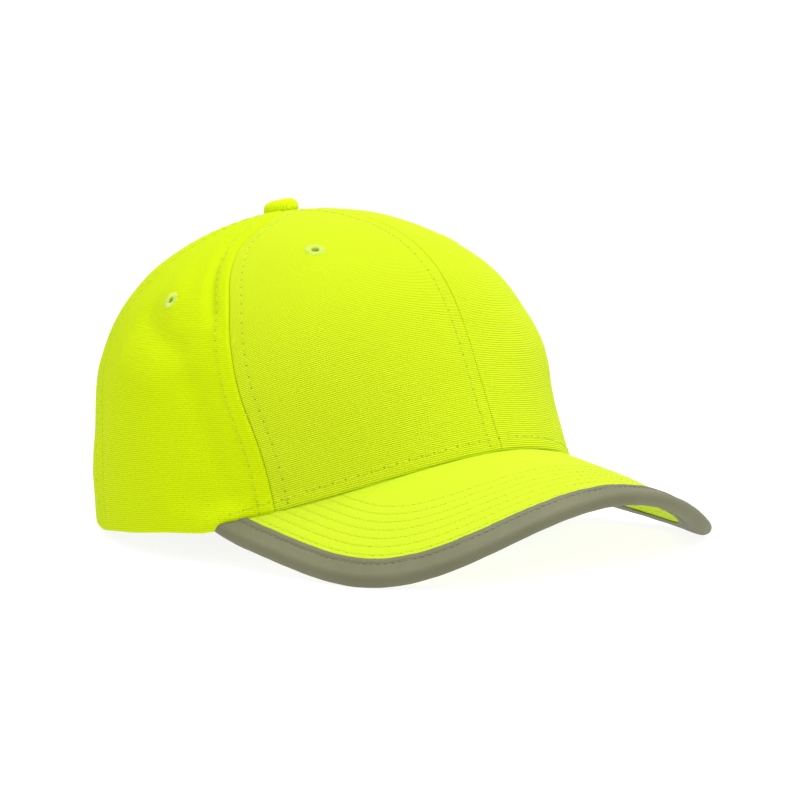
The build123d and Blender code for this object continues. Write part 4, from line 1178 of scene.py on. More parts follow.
# ------------------------------------------------------------------------- peak
def outline_points(i, inset):
    """Flat peak outline at station i (-1 left tail .. 1 right tail), moved in by inset."""
    i, inset = A(i, inset)
    w = PEAK_HALF - inset
    ly = PEAK_LENGTH + PEAK_SETBACK - inset
    a = np.abs(i)
    lim = 0.80
    ang = np.radians(90 * np.minimum(a / lim, 1))
    # even out the stations along the edge
    ang = np.radians(np.interp(np.degrees(ang), EVEN_F, EVEN_A))
    s = w * np.abs(np.sin(ang)) ** (2 / PEAK_POWERS[0])
    t = -PEAK_SETBACK + ly * np.maximum(np.cos(ang), 0) ** (2 / PEAK_POWERS[1])
    k = np.maximum(a - lim, 0) / (1 - lim) * 45.0
    s = s - PEAK_TAPER * (k / 30) ** 2
    t = t - 26.0 * k / 30
    return np.sign(i) * s, t


_a = np.linspace(0, 90, 2001)
_ss = PEAK_HALF * np.sin(np.radians(_a)) ** (2 / PEAK_POWERS[0])
_tt = (PEAK_LENGTH + PEAK_SETBACK) * np.maximum(np.cos(np.radians(_a)), 0) ** (2 / PEAK_POWERS[1])
_r = np.r_[0, np.cumsum(np.hypot(np.diff(_ss), np.diff(_tt)))]
EVEN_F, EVEN_A = 90 * _r / _r[-1], _a


def root_plan():
    th = np.linspace(-90, 90, 721)
    a = np.abs(th)
    under = 1 - smooth(a, 54, 61)
    v = v_of(np.interp(a, _rt, _rv) - 1.5 * (1 - under))
    p = inner_point(th, v, 2.1 * under + 1.3 * (1 - under))
    return p[:, :2]


ROOT = root_plan()
_half = ROOT[len(ROOT) // 2:]


def root_x(y):
    return np.interp(y, _half[:, 1], _half[:, 0], left=0.0)


_root_ang = np.degrees(np.arctan2(ROOT[:, 0], 20 - ROOT[:, 1]))
_root_r = np.hypot(ROOT[:, 0], ROOT[:, 1] - 20)


def bent(s, t, depth):
    """The peak as worn in: its wearer's-left wing stands a little higher behind the front corner."""
    s, t, depth = A(s, t, depth)
    p = bent_at(s, t, depth)
    d = np.hypot(p[..., 0], p[..., 1] - 20) - np.interp(np.degrees(np.arctan2(p[..., 0], 20 - p[..., 1])), _root_ang, _root_r)
    rise = 1.27 * smooth(s, 20, 42) * (1 - smooth(t, 15, 42)) * (1 - 0.8 * smooth(t, 0, 34) * smooth(s, 60, 86)) * smooth(d, 0.3, 5.5)
    rise = rise * smooth(t, -38, -8) + 1.28 * smooth(s, 62, 90) * smooth(t, -26, 12)
    return bent_at(s, t, depth, rise)


def deepest(i, depth, most=70.0, margin=0.0):
    """Largest inset at station i that still lies outside the crown's root line."""
    lo, hi = np.zeros_like(i), np.full_like(i, most)
    for _ in range(40):
        m = 0.5 * (lo + hi)
        s, t = outline_points(i, m)
        p = bent(s, t, depth)
        y = p[..., 1] + margin
        outside = (np.abs(p[..., 0]) > root_x(y) + margin) | (y < _half[0, 1])
        lo, hi = np.where(outside, m, lo), np.where(outside, hi, m)
    return lo


def peak_end(depth, margin):
    """Station where the bound edge meets the crown."""
    i = np.linspace(0.75, 1.0, 600)
    s, t = outline_points(i, np.zeros_like(i))
    p = bent(s, t, depth)
    ok = p[:, 0] - root_x(p[:, 1]) > margin
    return i[ok][-1]


I_END = 0.93
PEAK_ROWS = [11.8 + 4.0 * k for k in range(7)]
RHO = np.unique(np.round(np.concatenate([np.arange(2.5, 62, 1.0)] + [r + np.array([-1.1, -0.7, -0.4, -0.15, 0.15, 0.4, 0.7, 1.1]) for r in PEAK_ROWS]), 3))


def station_run(inset, n=4000):
    i = np.linspace(-1, 1, n)
    s, t = outline_points(i, np.full(n, inset))
    return i, np.r_[0, np.cumsum(np.hypot(np.diff(s), np.diff(t)))]


def peak_relief(i, rho, top=True):
    out = np.zeros_like(rho)
    _, run = station_run(0.0)
    s = np.interp(i, np.linspace(-1, 1, 4000), run)
    for k, r in enumerate(PEAK_ROWS):
        out = out - 0.10 * np.exp(-((rho - r) / 0.55) ** 2)
        out = out + 0.03 * np.cos(2 * math.pi * s / 3.5 + k) * np.exp(-((rho - r) / 1.0) ** 2)
    out = out + 0.05 * waves(s, 3, (37.0, 21.0, 12.0)) * np.sin(rho / 4.0 * 2 * math.pi + 1.0) * 0.6
    out = out + 0.12
    return out


def peak_sheet(name, top, material, node):
    n = 420
    i = np.linspace(-I_END, I_END, n)
    depth0 = 0.5 if top else 4.95
    rmax = np.minimum(deepest(i, np.full(n, depth0), margin=0.0 if top else -1.3), 62.0)
    rho = np.minimum(RHO[None], rmax[:, None])
    ii = i[:, None] + 0 * rho
    s, t = outline_points(ii, rho)
    lift = peak_relief(ii, rho, top)
    d = depth0 - lift if top else depth0 + lift
    verts = bent(s, t, d)
    m = len(RHO)
    idx = np.arange(n * m).reshape(n, m)
    faces = []
    for a in range(n - 1):
        for b in range(m - 1):
            c0 = RHO[b] < rmax[a] - 1e-6
            c1 = RHO[b] < rmax[a + 1] - 1e-6
            q = (idx[a, b], idx[a + 1, b], idx[a + 1, b + 1], idx[a, b + 1])
            if c0 and c1:
                faces.append(q)
            elif c0:
                faces.append((q[0], q[1], q[3]))
            elif c1:
                faces.append((q[0], q[1], q[2]))
    flat = verts.reshape(-1, 3)
    g = np.stack([s, t, np.zeros_like(s)], -1).reshape(-1, 3)
    near = np.full(rho.shape, 99.0)
    ph = np.zeros_like(rho)
    for k, r in enumerate(PEAK_ROWS):
        q = np.abs(rho - r)
        _, run = station_run(r)
        sr = np.interp(ii, np.linspace(-1, 1, 4000), run)
        ph = np.where(q < near, sr / 3.5 + 0.31 * k, ph)
        near = np.minimum(near, q)
    sew = np.stack([near, ph, 0 * near], -1).reshape(-1, 3)
    used = sorted({v for f in faces for v in f})
    remap = {v: k for k, v in enumerate(used)}
    faces = [tuple(remap[v] for v in f) for f in faces]
    if not top:
        faces = [f[::-1] for f in faces]
    o = new_object(name, place(flat[used]), faces, material, {"grain": g[used], "sew": sew[used]})
    bm = bpy.data.meshes[o.data.name]
    mod = o.modifiers.new("thickness", "SOLIDIFY")
    mod.thickness = 0.0008
    mod.offset = -1.0
    mod.use_even_offset = False
    finish_piece(o, "root", [node])
    return o


PEAK_TOP_SHEET = peak_sheet("peak_cloth_top", True, M_PEAK, "peak_top_cover")
PEAK_UNDER_SHEET = peak_sheet("peak_cloth_under", False, M_PEAK, "peak_under_cover")


def board():
    """The stiffener between the two cloths of the peak."""
    n = 300
    i = np.linspace(-I_END + 0.01, I_END - 0.01, n)
    rmax = np.maximum(np.minimum(deepest(i, np.full(n, 2.7), margin=3.4), 62.0), 3.4)
    f = np.linspace(0, 1, 44) ** 1.3
    rho = 3.2 + (rmax[:, None] - 3.2) * f[None]
    s, t = outline_points(i[:, None] + 0 * rho, rho)
    top, low = bent(s, t, 1.45 + 0 * s), bent(s, t, 3.95 + 0 * s)
    g = np.stack([s, t, 0 * s], -1)
    o = shell("peak_stiffener", top, low, M_BOARD, {"grain": g}, round_w=0.3, round_u=0.3)
    finish_piece(o, "root", ["peak_board"])


board()


def peak_thread(name, top):
    c = Collector()
    for k, r in enumerate(PEAK_ROWS):
        i, run = station_run(r)
        depth0 = 0.5 if top else 4.95
        ok = deepest(i, np.full(len(i), depth0), margin=-0.5) > r
        ok &= np.abs(i) < I_END
        if ok.sum() < 20:
            continue
        j = np.where(ok)[0]
        i0, i1 = i[j[0]], i[j[-1]]
        ii = np.linspace(i0, i1, 1500)
        s, t = outline_points(ii, np.full(1500, r))
        lift = peak_relief(ii, np.full(1500, r), top)
        d = depth0 - lift if top else depth0 + lift
        p = bent(s, t, d)
        q = bent(s, t, d + 1.0)
        nrm = unit(p - q) if top else unit(q - p)
        start = np.interp(i0, i, run)
        stitches(c, p, nrm, 3.5, gap=0.5, radius=0.14, rise=0.08, sink=0.25, phase=(-(start / 3.5 + 0.31 * k)) % 1.0, seed=k)
    o = c.make(name, M_THREAD)
    finish_piece(o, "root")


peak_thread("thread_peak_top", True)
peak_thread("thread_peak_under", False)


# ---------------------------------------------------------------------- binding
def binding():
    r = EDGE_THICK / 2
    sec = []
    top = [9.6, 9.45, 9.2, 8.8, 8.3, 7.9, 7.6, 7.3, 7.0, 6.6, 6.0, 5.2, 4.4, 3.6, r]
    for q in top:
        sec.append((q, 0.0))
    for a in np.linspace(0, 180, 17)[1:-1]:
        sec.append((r - r * math.sin(math.radians(a)), r - r * math.cos(math.radians(a))))
    for q in top[::-1]:
        sec.append((q, EDGE_THICK))
    sec = np.array(sec)
    n = 640
    i = np.linspace(-I_END, I_END, n)
    rho = sec[None, :, 0] + 0 * i[:, None]
    dep = sec[None, :, 1] + 0 * i[:, None]
    rmax = deepest(i, np.full(n, 2.7), margin=0.0)
    rho = np.minimum(rho, np.maximum(rmax, 0.6)[:, None])
    ii = i[:, None] + 0 * rho
    s, t = outline_points(ii, rho)
    _, run = station_run(0.0)
    along = np.interp(ii, np.linspace(-1, 1, 4000), run)
    under = dep > r
    flatness = smooth(rho, 2.0, 3.5)
    lift = 0.30 * smooth(rho, 6.9, 7.9) * (1 - smooth(rho, 9.25, 9.6) * 0.5)
    lift = lift - 0.22 * np.exp(-((rho - 7.35) / 0.38) ** 2)
    lift = lift + 0.045 * np.cos(2 * math.pi * along / 2.6) * np.exp(-((rho - 7.6) / 0.9) ** 2)
    lift = lift * flatness
    # the tape gathers where it is folded round the front of the peak
    front = np.exp(-(s / 42.0) ** 2)
    gather = waves(along, 2, (6.3, 4.1, 9.7), (1.0, 0.8, 0.6))
    lift = lift + under * flatness * front * 0.32 * gather * smooth(rho, 2.5, 5.5)
    lift = lift + 0.10 * waves(along, 9, (23.0, 13.0, 7.0)) * smooth(rho, 2.5, 6.0) * flatness
    lift = lift + 0.05 * waves(along, 4, (11.0, 19.0, 5.0))
    # outward direction of the section
    ang = np.where(np.abs(dep - r) < r - 1e-6, 0, 0)
    e_in = (rho - r) / r
    n_d = np.where(rho >= r, np.where(under, 1.0, -1.0), (dep - r) / r)
    n_r = np.where(rho >= r, 0.0, np.clip(e_in, -1, 0))
    ro, do = rho + n_r * lift, dep + n_d * lift
    ri, di = rho + n_r * (lift - BINDING), dep + n_d * (lift - BINDING)
    s1, t1 = outline_points(ii, ro)
    s2, t2 = outline_points(ii, ri)
    outer, inner = bent(s1, t1, do), bent(s2, t2, di)
    arc = np.r_[0, np.cumsum(np.hypot(np.diff(sec[:, 0]), np.diff(sec[:, 1])))]
    g = np.stack([along, arc[None] + 0 * along, 0 * along], -1)
    o = shell("binding_tape", outer, inner, M_BINDING, {"grain": g}, round_w=0.2, round_u=0.1)
    finish_piece(o, "root", ["peak_binding"])
    c = Collector()
    for top_side in (True, False):
        j = np.linspace(-I_END + 0.004, I_END - 0.004, 3000)
        ok = deepest(j, np.full(len(j), 2.7)) > 7.6
        jj = np.linspace(j[ok][0], j[ok][-1], 3000)
        ro = np.full(3000, 7.35)
        s, t = outline_points(jj, ro)
        al = np.interp(jj, np.linspace(-1, 1, 4000), run)
        up = 0.0 if top_side else EDGE_THICK
        sgn = -1 if top_side else 1
        lf = 0.02 + 0.0 * al
        p = bent(s, t, up + sgn * lf)
        q = bent(s, t, up + sgn * (lf - 1.0))
        stitches(c, p, unit(p - q), 2.6, gap=0.8, radius=0.13, rise=0.10, sink=0.3, seed=5 if top_side else 8)
    o = c.make("thread_binding", M_GREY_THREAD)
    finish_piece(o, "root")


binding()


# --------------------------------------------------------------- inside: buckram
def strip(name, th, v, inset, thick, material, line=None, grain=None, bulge=None, round_w=0.15, round_u=0.15, punched=False):
    n = crown_normal(th, v)
    base = crown_raw(th, v)
    b = 0 if bulge is None else bulge
    outer = base - n * (inset + 0 * th)[..., None]
    inner = base - n * (inset + thick + b + 0 * th)[..., None]
    g = grain if grain is not None else grain_for(base, line)
    return shell(name, outer, inner, material, {"grain": g}, round_w=round_w, round_u=round_u, punched=punched)


def sub_grid(left, right, gap, lift, hole, nu, nw, mirror):
    u, w = np.linspace(0, 1, nu), np.linspace(0, 1, nw)
    mid = 0.5 * (float(left(0.5)) + float(right(0.5)))
    w0 = lift / 130.0
    ww = w0 + (float(top_w(mid, hole)) - w0) * w
    a, b = left(ww), right(ww)
    thm = 0.5 * (a + b)
    g = np.degrees(gap / np.maximum(radius_at(thm, v_at(thm, ww)), 1))
    th = (a + g)[None] + (b - a - 2 * g)[None] * u[:, None]
    v = v_at(th, ww[None] + 0 * th)
    return (-th if mirror else th), v


for side, mirror in (("left", False), ("right", True)):
    sg = -1 if mirror else 1
    th, v = sub_grid(zero, side_seam, 2.5, 2.4, 14, 40, 60, mirror)
    o = strip("buckram_" + side, th, v, 1.0, 0.48, M_BUCKRAM, mid_line(zero, plain_seam, sg), punched=True)
    finish_piece(o, "root", ["front_buckram_" + side])

# ------------------------------------------------------------- inside: seam tapes
TAPES = {"front": "front_seam_tape", "front_side_left": "front_side_seam_tape_left",
         "front_side_right": "front_side_seam_tape_right", "rear_side_left": "rear_side_seam_tape_left",
         "rear_side_right": "rear_side_seam_tape_right", "rear": "rear_seam_tape"}
for k, (name, node) in enumerate(TAPES.items()):
    f = SEAMS[name]
    w0 = float(along_w(180.0, v_of(REAR_RISE + ARCH_H + 0.6))) if name == "rear" else 2.2 / 130
    w = np.linspace(w0, float(top_w(float(f(0.9)), 9.0)), 150)
    r = radius_at(f(w), v_at(f(w), w))
    half = np.minimum(7.0, r * math.sin(math.radians(27)))
    x = np.array([-1, -0.97, -0.9, -0.8, -0.72, -0.66, -0.45, -0.2, 0, 0.2, 0.45, 0.66, 0.72, 0.8, 0.9, 0.97, 1])
    th = f(w)[None] + np.degrees(half / r)[None] * x[:, None]
    v = v_at(th, w[None] + 0 * th)
    s = np.interp(w, _ws, SEAM_RUN[name])
    prof = 0.14 * np.exp(-((np.abs(x) - 0.35) / 0.3) ** 2) - 0.16 * np.exp(-((np.abs(x) - 0.70) / 0.07) ** 2)
    bul = prof[:, None] + 0.05 * np.cos(2 * math.pi * s / STITCH)[None] * np.exp(-((np.abs(x) - 0.6) / 0.3) ** 2)[:, None]
    g = np.stack([half[None] * x[:, None], s[None] + 0 * th, 0 * th], -1)
    o = strip("tape_" + name, th, v, 1.6, 0.5, M_TAPE, grain=g, bulge=bul)
    finish_piece(o, "root", [node])
    c = Collector()
    for sg in (1, -1):
        ww = np.linspace(w0, w[-1] - 0.02, 600)
        rr = radius_at(f(ww), v_at(f(ww), ww))
        ok = rr * math.sin(math.radians(27)) > 5.4
        ww, rr = ww[ok], rr[ok]
        tt = f(ww) + sg * np.degrees(ROW / rr)
        vv = v_at(tt, ww)
        p = inner_point(tt, vv, 2.0)
        stitches(c, p, -crown_normal(tt, vv), STITCH, gap=0.7, radius=0.19, rise=0.2, phase=0.3, seed=k + sg)
    o = c.make("thread_tape_" + name, M_THREAD)
    finish_piece(o, "root")

# ------------------------------------------------------------------- sweatband
BAND_END = 31.0


def band_low(th):
    return np.interp(np.abs(wrap(th)), _rt, _rzb) + 1.5


def band_grid(nu, e):
    th = np.linspace(-(180 - BAND_END), 180 - BAND_END, nu)
    z = band_low(th)[:, None] + e[None]
    return th[:, None] + 0 * z, v_of(z)


e = np.array([0, 0.3, 0.8, 1.4, 2.0, 2.5, 3.0, 3.8, 5.0, 7.0, 10.0, 13.0, 16.0, 19.0, 22.0, 25.0, 26.6, 27.4, 28.0, 28.5, 29.0, 29.6, 30.3, 30.8, 31.0])
th, v = band_grid(760, e)
_p = crown_raw(th[:, 0], v[:, 0])
brun = np.r_[0, np.cumsum(np.linalg.norm(np.diff(_p, axis=0), axis=-1))]
flat = smooth(e, 1.0, 7.0) * (1 - smooth(e, 22.0, 28.5))
groove = np.exp(-((e - 2.4) / 0.6) ** 2) + np.exp(-((e - 28.2) / 0.6) ** 2)
bul = 0.85 * flat[None] + 0.35 * waves(brun, 2, (34.0, 19.0, 11.0))[:, None] * flat[None] - 0.42 * groove[None]
bul = bul + 0.10 * np.cos(2 * math.pi * brun / 4.0)[:, None] * (np.exp(-((e - 4.0) / 1.8) ** 2) + np.exp(-((e - 26.6) / 1.8) ** 2))[None]
g = np.stack([brun[:, None] + 0 * th, e[None] + 0 * th, 0 * th], -1)
n = crown_normal(th, v)
base = crown_raw(th, v)
o = shell("sweatband_cloth", base - n * 3.55, base - n * (4.35 + bul)[..., None], M_BAND, {"grain": g}, round_w=0.3, round_u=0.3)
finish_piece(o, "root", ["sweatband_cover"])
c = Collector()
for ee in (2.4, 28.2):
    j = int(np.argmin(np.abs(e - ee)))
    tt = np.linspace(-148, 148, 4000)
    vv = v_of(band_low(tt) + ee)
    p = inner_point(tt, vv, 4.35 - 0.40)
    stitches(c, p, -crown_normal(tt, vv), 4.0, gap=0.7, radius=0.2, rise=0.2, seed=ee)
o = c.make("thread_sweatband", M_THREAD)
finish_piece(o, "root")

# ------------------------------------------------------------------ arch binding
ath, av = arch_curve(0.0, 300)
ath = np.r_[ath, 360 - ath[::-1][1:]]
av = np.r_[av, av[::-1][1:]]
ap = crown_raw(ath, av)
arun = np.r_[0, np.cumsum(np.linalg.norm(np.diff(ap, axis=0), axis=-1))]
pick = np.linspace(0, arun[-1], 260)
ath, av = np.interp(pick, arun, ath), np.interp(pick, arun, av)
ap = crown_raw(ath, av)
an = crown_normal(ath, av)
at = unit(np.gradient(ap, axis=0))
away = unit(np.cross(an, at))
if (away[130] * np.array([0, 0, 1.0])).sum() < 0:
    away = -away
# section: outside leg, fold, inside leg; x is away from the opening, h outward
leg = np.array([5.0, 4.85, 4.5, 3.9, 3.3, 2.8, 2.2, 1.4, 0.6, 0.0])
lift_o = 0.62 - 0.28 * np.exp(-((leg - 3.6) / 0.45) ** 2) + 0.12 * np.exp(-((leg - 2.0) / 1.0) ** 2)
out_leg = np.stack([leg, lift_o], -1)
arc = [(-0.75 * math.sin(a), -0.45 + 1.07 * math.cos(a)) for a in np.linspace(0, math.pi, 9)[1:-1]]
in_leg = np.stack([leg[::-1], -1.52 - 0.0 * leg], -1)
sec_o = np.concatenate([out_leg, np.array(arc), in_leg])
th_in = 0.36
cen = np.array([1.2, -0.45])
din = []
for k, (x, h) in enumerate(sec_o):
    if k < len(leg):
        din.append((x, h - th_in))
    elif k >= len(leg) + len(arc):
        din.append((x, h + th_in))
    else:
        a = np.linspace(0, math.pi, 9)[1:-1][k - len(leg)]
        din.append((-(0.75 - th_in) * math.sin(a), -0.45 + (1.07 - th_in) * math.cos(a)))
sec_i = np.array(din)
wob = 0.06 * np.cos(2 * math.pi * pick / 3.6)[:, None]


def on_arch(sec, wave):
    x, h = sec[:, 0][None], sec[:, 1][None] + wave
    # follow the crown away from the edge
    q = ap[:, None] + away[:, None] * x[..., None]
    drop = 0.5 * (x ** 2) / 85.0
    return q + an[:, None] * (h - drop)[..., None]


outer = on_arch(sec_o, wob * np.exp(-((sec_o[:, 0] - 3.0) / 1.2) ** 2)[None] * (sec_o[:, 1] > 0)[None])
inner = on_arch(sec_i, wob * 0)
secrun = np.r_[0, np.cumsum(np.linalg.norm(np.diff(sec_o, axis=0), axis=-1))]
g = np.stack([secrun[None] + 0 * pick[:, None], pick[:, None] + 0 * secrun[None], 0 * pick[:, None] + 0 * secrun[None]], -1)
o = shell("arch_tape", outer, inner, M_TAPE, {"grain": g}, round_w=0.15, round_u=0.15)
finish_piece(o, "root", ["arch_binding"])
c = Collector()
for side_out in (True, False):
    q = ap + away * 3.6 + an * ((0.40 if side_out else -1.62) - 0.076)
    stitches(c, q, an if side_out else -an, 3.6, gap=0.65, radius=0.18, rise=0.16, seed=4)
o = c.make("thread_arch", M_THREAD)
finish_piece(o, "root")

# ------------------------------------------------------------------------ straps
S_LOW, S_HIGH = REAR_RISE + 1.6, REAR_RISE + 21.6


def strap(name, th0, th1, inset, thick, material, node, body, nu=120, stitched=True, inward=True, ends=(True, True), z0=S_LOW, z1=S_HIGH, bulge_rows=(2.2, 17.8), wave=0.06):
    e = np.array([0, 0.25, 0.7, 1.3, 1.8, 2.2, 2.6, 3.2, 4.2, 6, 8, 10, 12, 14, 15.8, 16.8, 17.4, 17.8, 18.2, 18.7, 19.3, 19.75, 20.0]) * (z1 - z0) / 20.0
    tt = np.linspace(th0, th1, nu)
    r = radius_at(tt, v_of(15.0))
    run = np.r_[0, np.cumsum(np.radians(np.diff(tt)) * 0.5 * (r[1:] + r[:-1]))]
    length = run[-1]
    th = tt[:, None] + 0 * e[None]
    z = z0 + e[None] + 0 * th
    # rounded free ends
    corner = 4.0
    for flag, dist in ((ends[0], run), (ends[1], length - run)):
        if flag:
            k = np.clip(1 - dist / corner, 0, 1)
            cut = corner * (1 - np.sqrt(np.clip(1 - k ** 2, 0, 1)))
            half = (z1 - z0) / 2
            z = z0 + half + (z - z0 - half) * (1 - cut / half)[:, None]
    v = v_of(z)
    ins = inset(tt)[:, None] if callable(inset) else inset
    n_ = crown_normal(th, v)
    base_ = crown_raw(th, v)
    row = 0
    if stitched:
        for br in bulge_rows:
            row = row - 0.16 * np.exp(-((e - br) / 0.5) ** 2)
        row = row + 0.10 * smooth(e, 2.6, 6) * (1 - smooth(e, 14, 17.4))
    wv = wave * waves(run, 3, (17.0, 9.0, 5.0))
    lift = (np.asarray(row)[None] if stitched else 0 * e[None]) + wv[:, None]
    outer = base_ - n_ * (ins - lift)[..., None] if True else None
    inner = base_ - n_ * (ins + thick - 0.0 + 0 * lift + (-wv[:, None]) + (0.10 * 0))[..., None]
    g = np.stack([z - z0, run[:, None] + 0 * z, 0 * z], -1)
    o = shell(name, outer, inner, material, {"grain": g}, round_w=0.18, round_u=0.18)
    finish_piece(o, body, node if isinstance(node, list) else [node])
    if stitched:
        c = Collector()
        for br in bulge_rows:
            t2 = np.linspace(th0, th1, 1600)
            m = np.abs(np.interp(t2, tt, run) - length / 2) < length / 2 - 2.4
            t2 = t2[m]
            zz = z0 + br + 0 * t2
            vv = v_of(zz)
            i2 = inset(t2) if callable(inset) else inset + 0 * t2
            w2 = np.interp(t2, tt, wv)
            p = crown_raw(t2, vv) - crown_normal(t2, vv) * (i2 + 0.12 - w2)[:, None]
            stitches(c, p, crown_normal(t2, vv), 3.2, gap=0.6, radius=0.17, rise=0.16, seed=br)
            p = crown_raw(t2, vv) - crown_normal(t2, vv) * (i2 + thick - w2 - 0.03)[:, None]
            stitches(c, p, -crown_normal(t2, vv), 3.2, gap=0.6, radius=0.17, rise=0.16, phase=0.5, seed=br)
        o2 = c.make("thread_" + name, M_THREAD)
        finish_piece(o2, body)
    return o


def swing(th):
    return -0.1 + 1.8 * smooth(th, 188, 195.5)


strap("strap_loop_side", 149.4, 187, 2.7, 1.0, M_WEB, "loop_strap_web", "root", ends=(False, True))
_f = [place(crown_raw(a, v_of(15.0)) - 1.7 * crown_normal(a, v_of(15.0))) for a in (198.7, 195.9)]
FOLD = ("root", "hook_strap", tuple(float(c) for c in _f[0]), tuple(float(c) for c in _f[1]))
strap("strap_hook_side", 167, 209, swing, 1.0, M_WEB, ["hook_strap_web", "hook_strap_anchor"], FOLD, nu=190, ends=(True, False))
strap("pile_loop", 167, 186, 1.95, 0.7, M_LOOP, "loop_tape", "root", stitched=False, z0=S_LOW + 1, z1=S_HIGH - 1, ends=(False, True), wave=0.0)
strap("pile_hook", 167.5, 185, 0.98, 0.66, M_HOOK, "hook_tape", "hook_strap", stitched=False, z0=S_LOW + 1, z1=S_HIGH - 1, ends=(True, False), wave=0.0)
strap("anchor_loop", 149.4, 154.3, 1.0, 1.65, M_WEB, "loop_strap_anchor", "root", nu=30, stitched=False, ends=(False, False), wave=0.0)

# ---------------------------------------------------------------- foam of insert
PAD_INSET = 7.5


def shell_low(th):
    c = np.cos(np.radians(th))
    return 38 + 12 * np.maximum(0, c) ** 2 + 12 * np.maximum(0, -c) ** 2


def foam(name, th0, th1, node, nu=70, nw=34, thick=5.0):
    u = np.linspace(-1, 1, nu)
    w = np.linspace(-1, 1, nw)
    u, w = np.sin(u * math.pi / 2) * 0.35 + u * 0.65, np.sin(w * math.pi / 2) * 0.35 + w * 0.65
    thm, half = 0.5 * (th0 + th1), 0.5 * (th1 - th0)
    # rounded corners: superellipse squeeze of the rows towards the ends
    U, W = np.meshgrid(u, w, indexing="ij")
    k = (1 - np.abs(U) ** 9) ** (1 / 9.0)
    th = thm + half * U * (0.985 + 0.015 * (1 - np.abs(W) ** 6))
    lo, hi = shell_low(th) + 2.8, shell_low(th) + 29.7
    z = 0.5 * (lo + hi) + 0.5 * (hi - lo) * W * np.maximum(k, 0.70)
    v = v_of(z)
    n_ = crown_normal(th, v)
    b = crown_raw(th, v)
    edge = np.minimum(1 - np.abs(U), (1 - np.abs(W)) * 0.5 + 0 * U)
    soft = 1 - (1 - smooth(1 - np.abs(U), 0, 0.07)) * 0.45
    soft = soft * (1 - (1 - smooth(1 - np.abs(W), 0, 0.14)) * 0.45)
    inner = b - n_ * (PAD_INSET + 0.15 + (thick - 0.2) * soft)[..., None]
    outer = b - n_ * (PAD_INSET + 0.12)
    g = np.stack([th, z, 0 * z], -1)
    o = shell(name, outer, inner, M_FOAM, {"grain": g}, round_w=0.5, round_u=0.5)
    finish_piece(o, "insert", [node])


foam("foam_front", -38, 38, "front_pad")
foam("foam_left", 52, 118, "side_pad_left")
foam("foam_right", -118, -52, "side_pad_right")
foam("foam_rear", 142, 218, "rear_pad")


def crown_foam():
    n = 144
    th = np.linspace(-180, 180, n, endpoint=False)
    ring_low = CROWN_HEIGHT * (1 - (44 / crown_c(th, 0.9)) ** 2)
    v0 = v_of(ring_low)
    v1 = 1 - 11 / crown_c(th, 1.0)
    w = np.linspace(0, 1, 22)
    w = 0.5 - 0.5 * np.cos(math.pi * w) * 0.4 - 0.5 * (1 - 2 * w) * 0.6
    w = (w - w[0]) / (w[-1] - w[0])
    scallop = 0.06 * np.cos(np.radians(th) * 6)
    w = 0.012 + 0.976 * w
    v = (v0 + scallop * (v1 - v0) * 0.25 + 0.01)[:, None] + (v1 - v0 - scallop * (v1 - v0) * 0.25 - 0.012)[:, None] * w[None]
    t2 = th[:, None] + 0 * v
    nn, b = crown_normal(t2, v), crown_raw(t2, v)
    soft = 1 - (1 - smooth(w, 0, 0.12)) * 0.5
    soft = soft * (1 - (1 - smooth(1 - w, 0, 0.16)) * 0.5)
    inner = b - nn * (PAD_INSET + 0.15 + 4.8 * soft[None])[..., None]
    outer = b - nn * (PAD_INSET + 0.12)
    prof = np.concatenate([outer, inner[:, ::-1]], 1)
    m = prof.shape[1]
    idx = np.arange(n * m).reshape(n, m)
    nxt = np.roll(idx, -1, 0)
    faces = np.stack([idx, nxt, np.roll(nxt, -1, 1), np.roll(idx, -1, 1)], -1).reshape(-1, 4).tolist()
    nrm = np.cross(outer[1, 5] - outer[0, 5], outer[0, 6] - outer[0, 5])
    if (nrm * (outer[0, 5] - inner[0, 5])).sum() < 0:
        faces = [f[::-1] for f in faces]
    g = np.stack([t2, v * 100, 0 * v], -1)
    g = np.concatenate([g, g[:, ::-1]], 1).reshape(-1, 3)
    o = new_object("foam_crown", place(prof.reshape(-1, 3)), faces, M_FOAM, {"grain": g})
    finish_piece(o, "insert", ["crown_pad"])


crown_foam()

# ------------------------------------------------- CAD parts that stay as they are
for node, material in (("bump_shell", M_SHELL), ("button_core", M_METAL), ("button_washer", M_METAL),
                       ("sweatband_foam", M_FOAM), ("crown_loop_dots", M_LOOP), ("shell_hook_dots", M_HOOK)):
    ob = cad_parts[node]
    if not ob.material_slots:
        ob.data.materials.append(material)
    for sl in ob.material_slots:
        sl.material = material

# ------------------------------------------------------------------------- stage
low_z = min(p.z for p in CAD_BOX) if hasattr(CAD_BOX[0], "z") else 0.0


def floor_material():
    n = Nodes("pale_floor")
    a = n.noise(n.object_coords(), 3.0, 2.0)
    n.put(n.b.inputs["Base Color"], n.mix(n.ramp(a, 0.3, 0.7), (0.24, 0.24, 0.24, 1), (0.26, 0.26, 0.26, 1)))
    n.b.inputs["Roughness"].default_value = 0.9
    n.b.inputs["Specular IOR Level"].default_value = 0.05
    n.b.inputs["Emission Color"].default_value = (1.0, 1.0, 1.0, 1.0)
    n.b.inputs["Emission Strength"].default_value = 0.88
    return n.mat


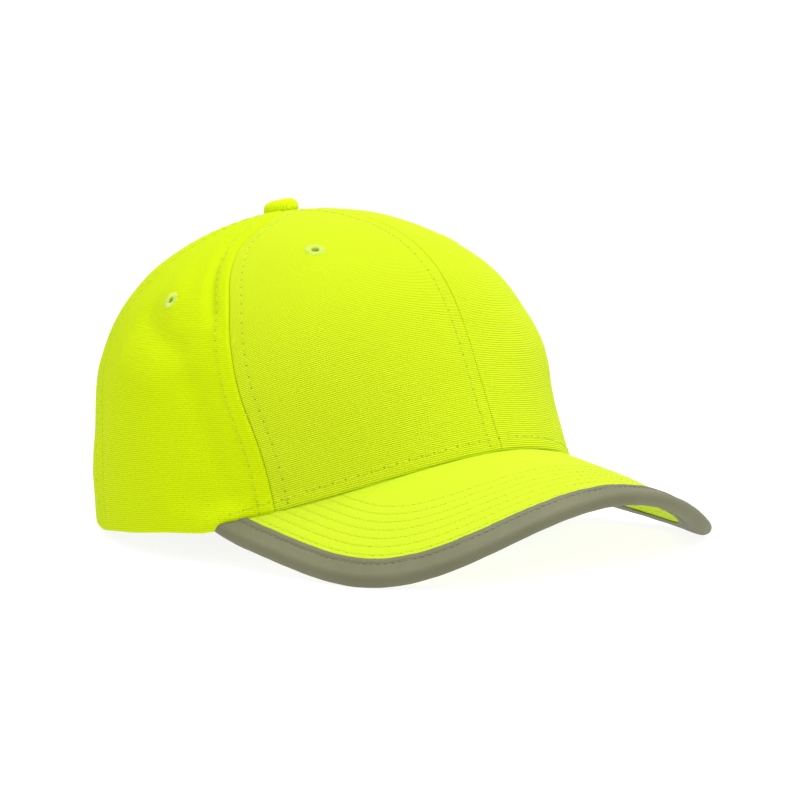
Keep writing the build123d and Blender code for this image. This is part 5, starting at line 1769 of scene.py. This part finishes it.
floor = new_object("floor", [(-60, -60, low_z), (60, -60, low_z), (60, 60, low_z), (-60, 60, low_z)], [(0, 1, 2, 3)], floor_material(), smooth_shade=False)

world = bpy.data.worlds.new("studio")
bpy.context.scene.world = world
world.use_nodes = True
bg = world.node_tree.nodes["Background"]
bg.inputs[0].default_value = (1.0, 1.0, 1.0, 1.0)
bg.inputs[1].default_value = 0.78


def softbox(name, at, aim, size, power, colour=(1, 1, 1)):
    lamp = bpy.data.lights.new(name, "AREA")
    lamp.shape = "RECTANGLE"
    lamp.size, lamp.size_y = size
    lamp.energy = power
    lamp.color = colour
    o = bpy.data.objects.new(name, lamp)
    o.location = at
    o.rotation_euler = (Vector(aim) - Vector(at)).to_track_quat("-Z", "Y").to_euler()
    bpy.context.scene.collection.objects.link(o)


AIM = (0, -0.02, 0.06)
softbox("overhead", (0.15, -0.15, 1.25), AIM, (1.1, 1.1), 14.5)
softbox("key", (0.9, -0.9, 0.95), AIM, (0.8, 0.8), 1.3)
softbox("fill", (-1.1, -0.6, 0.9), AIM, (0.7, 0.7), 1.0)

scene = bpy.context.scene
scene.view_settings.view_transform = "Standard"
scene.view_settings.look = "None"

# ------------------------------------------------------------------------ camera
az, el, roll = math.radians(-43.295), math.radians(6.356), math.radians(-0.546)
back = Vector((math.sin(az) * math.cos(el), -math.cos(az) * math.cos(el), math.sin(el)))
right = Vector((math.cos(az), math.sin(az), 0))
up = back.cross(right)
r2 = right * math.cos(roll) + up * math.sin(roll)
u2 = -right * math.sin(roll) + up * math.cos(roll)
centre = Vector((0, -0.02761, 0.06975)) + Vector(SHIFT)
cam = bpy.data.cameras.new("camera")
cam.sensor_width = 36.0
cam.lens = 2.77 * 1345 * 36 / 800
cam.shift_x = -(428.21 - 400) / 800
cam.shift_y = (351.93 - 400) / 800
cam.clip_start, cam.clip_end = 0.05, 30
cam_o = bpy.data.objects.new("camera", cam)
m = Matrix((r2, u2, back)).transposed().to_4x4()
m.translation = centre + back * 1.345
cam_o.matrix_world = m
scene.collection.objects.link(cam_o)
scene.camera = cam_o
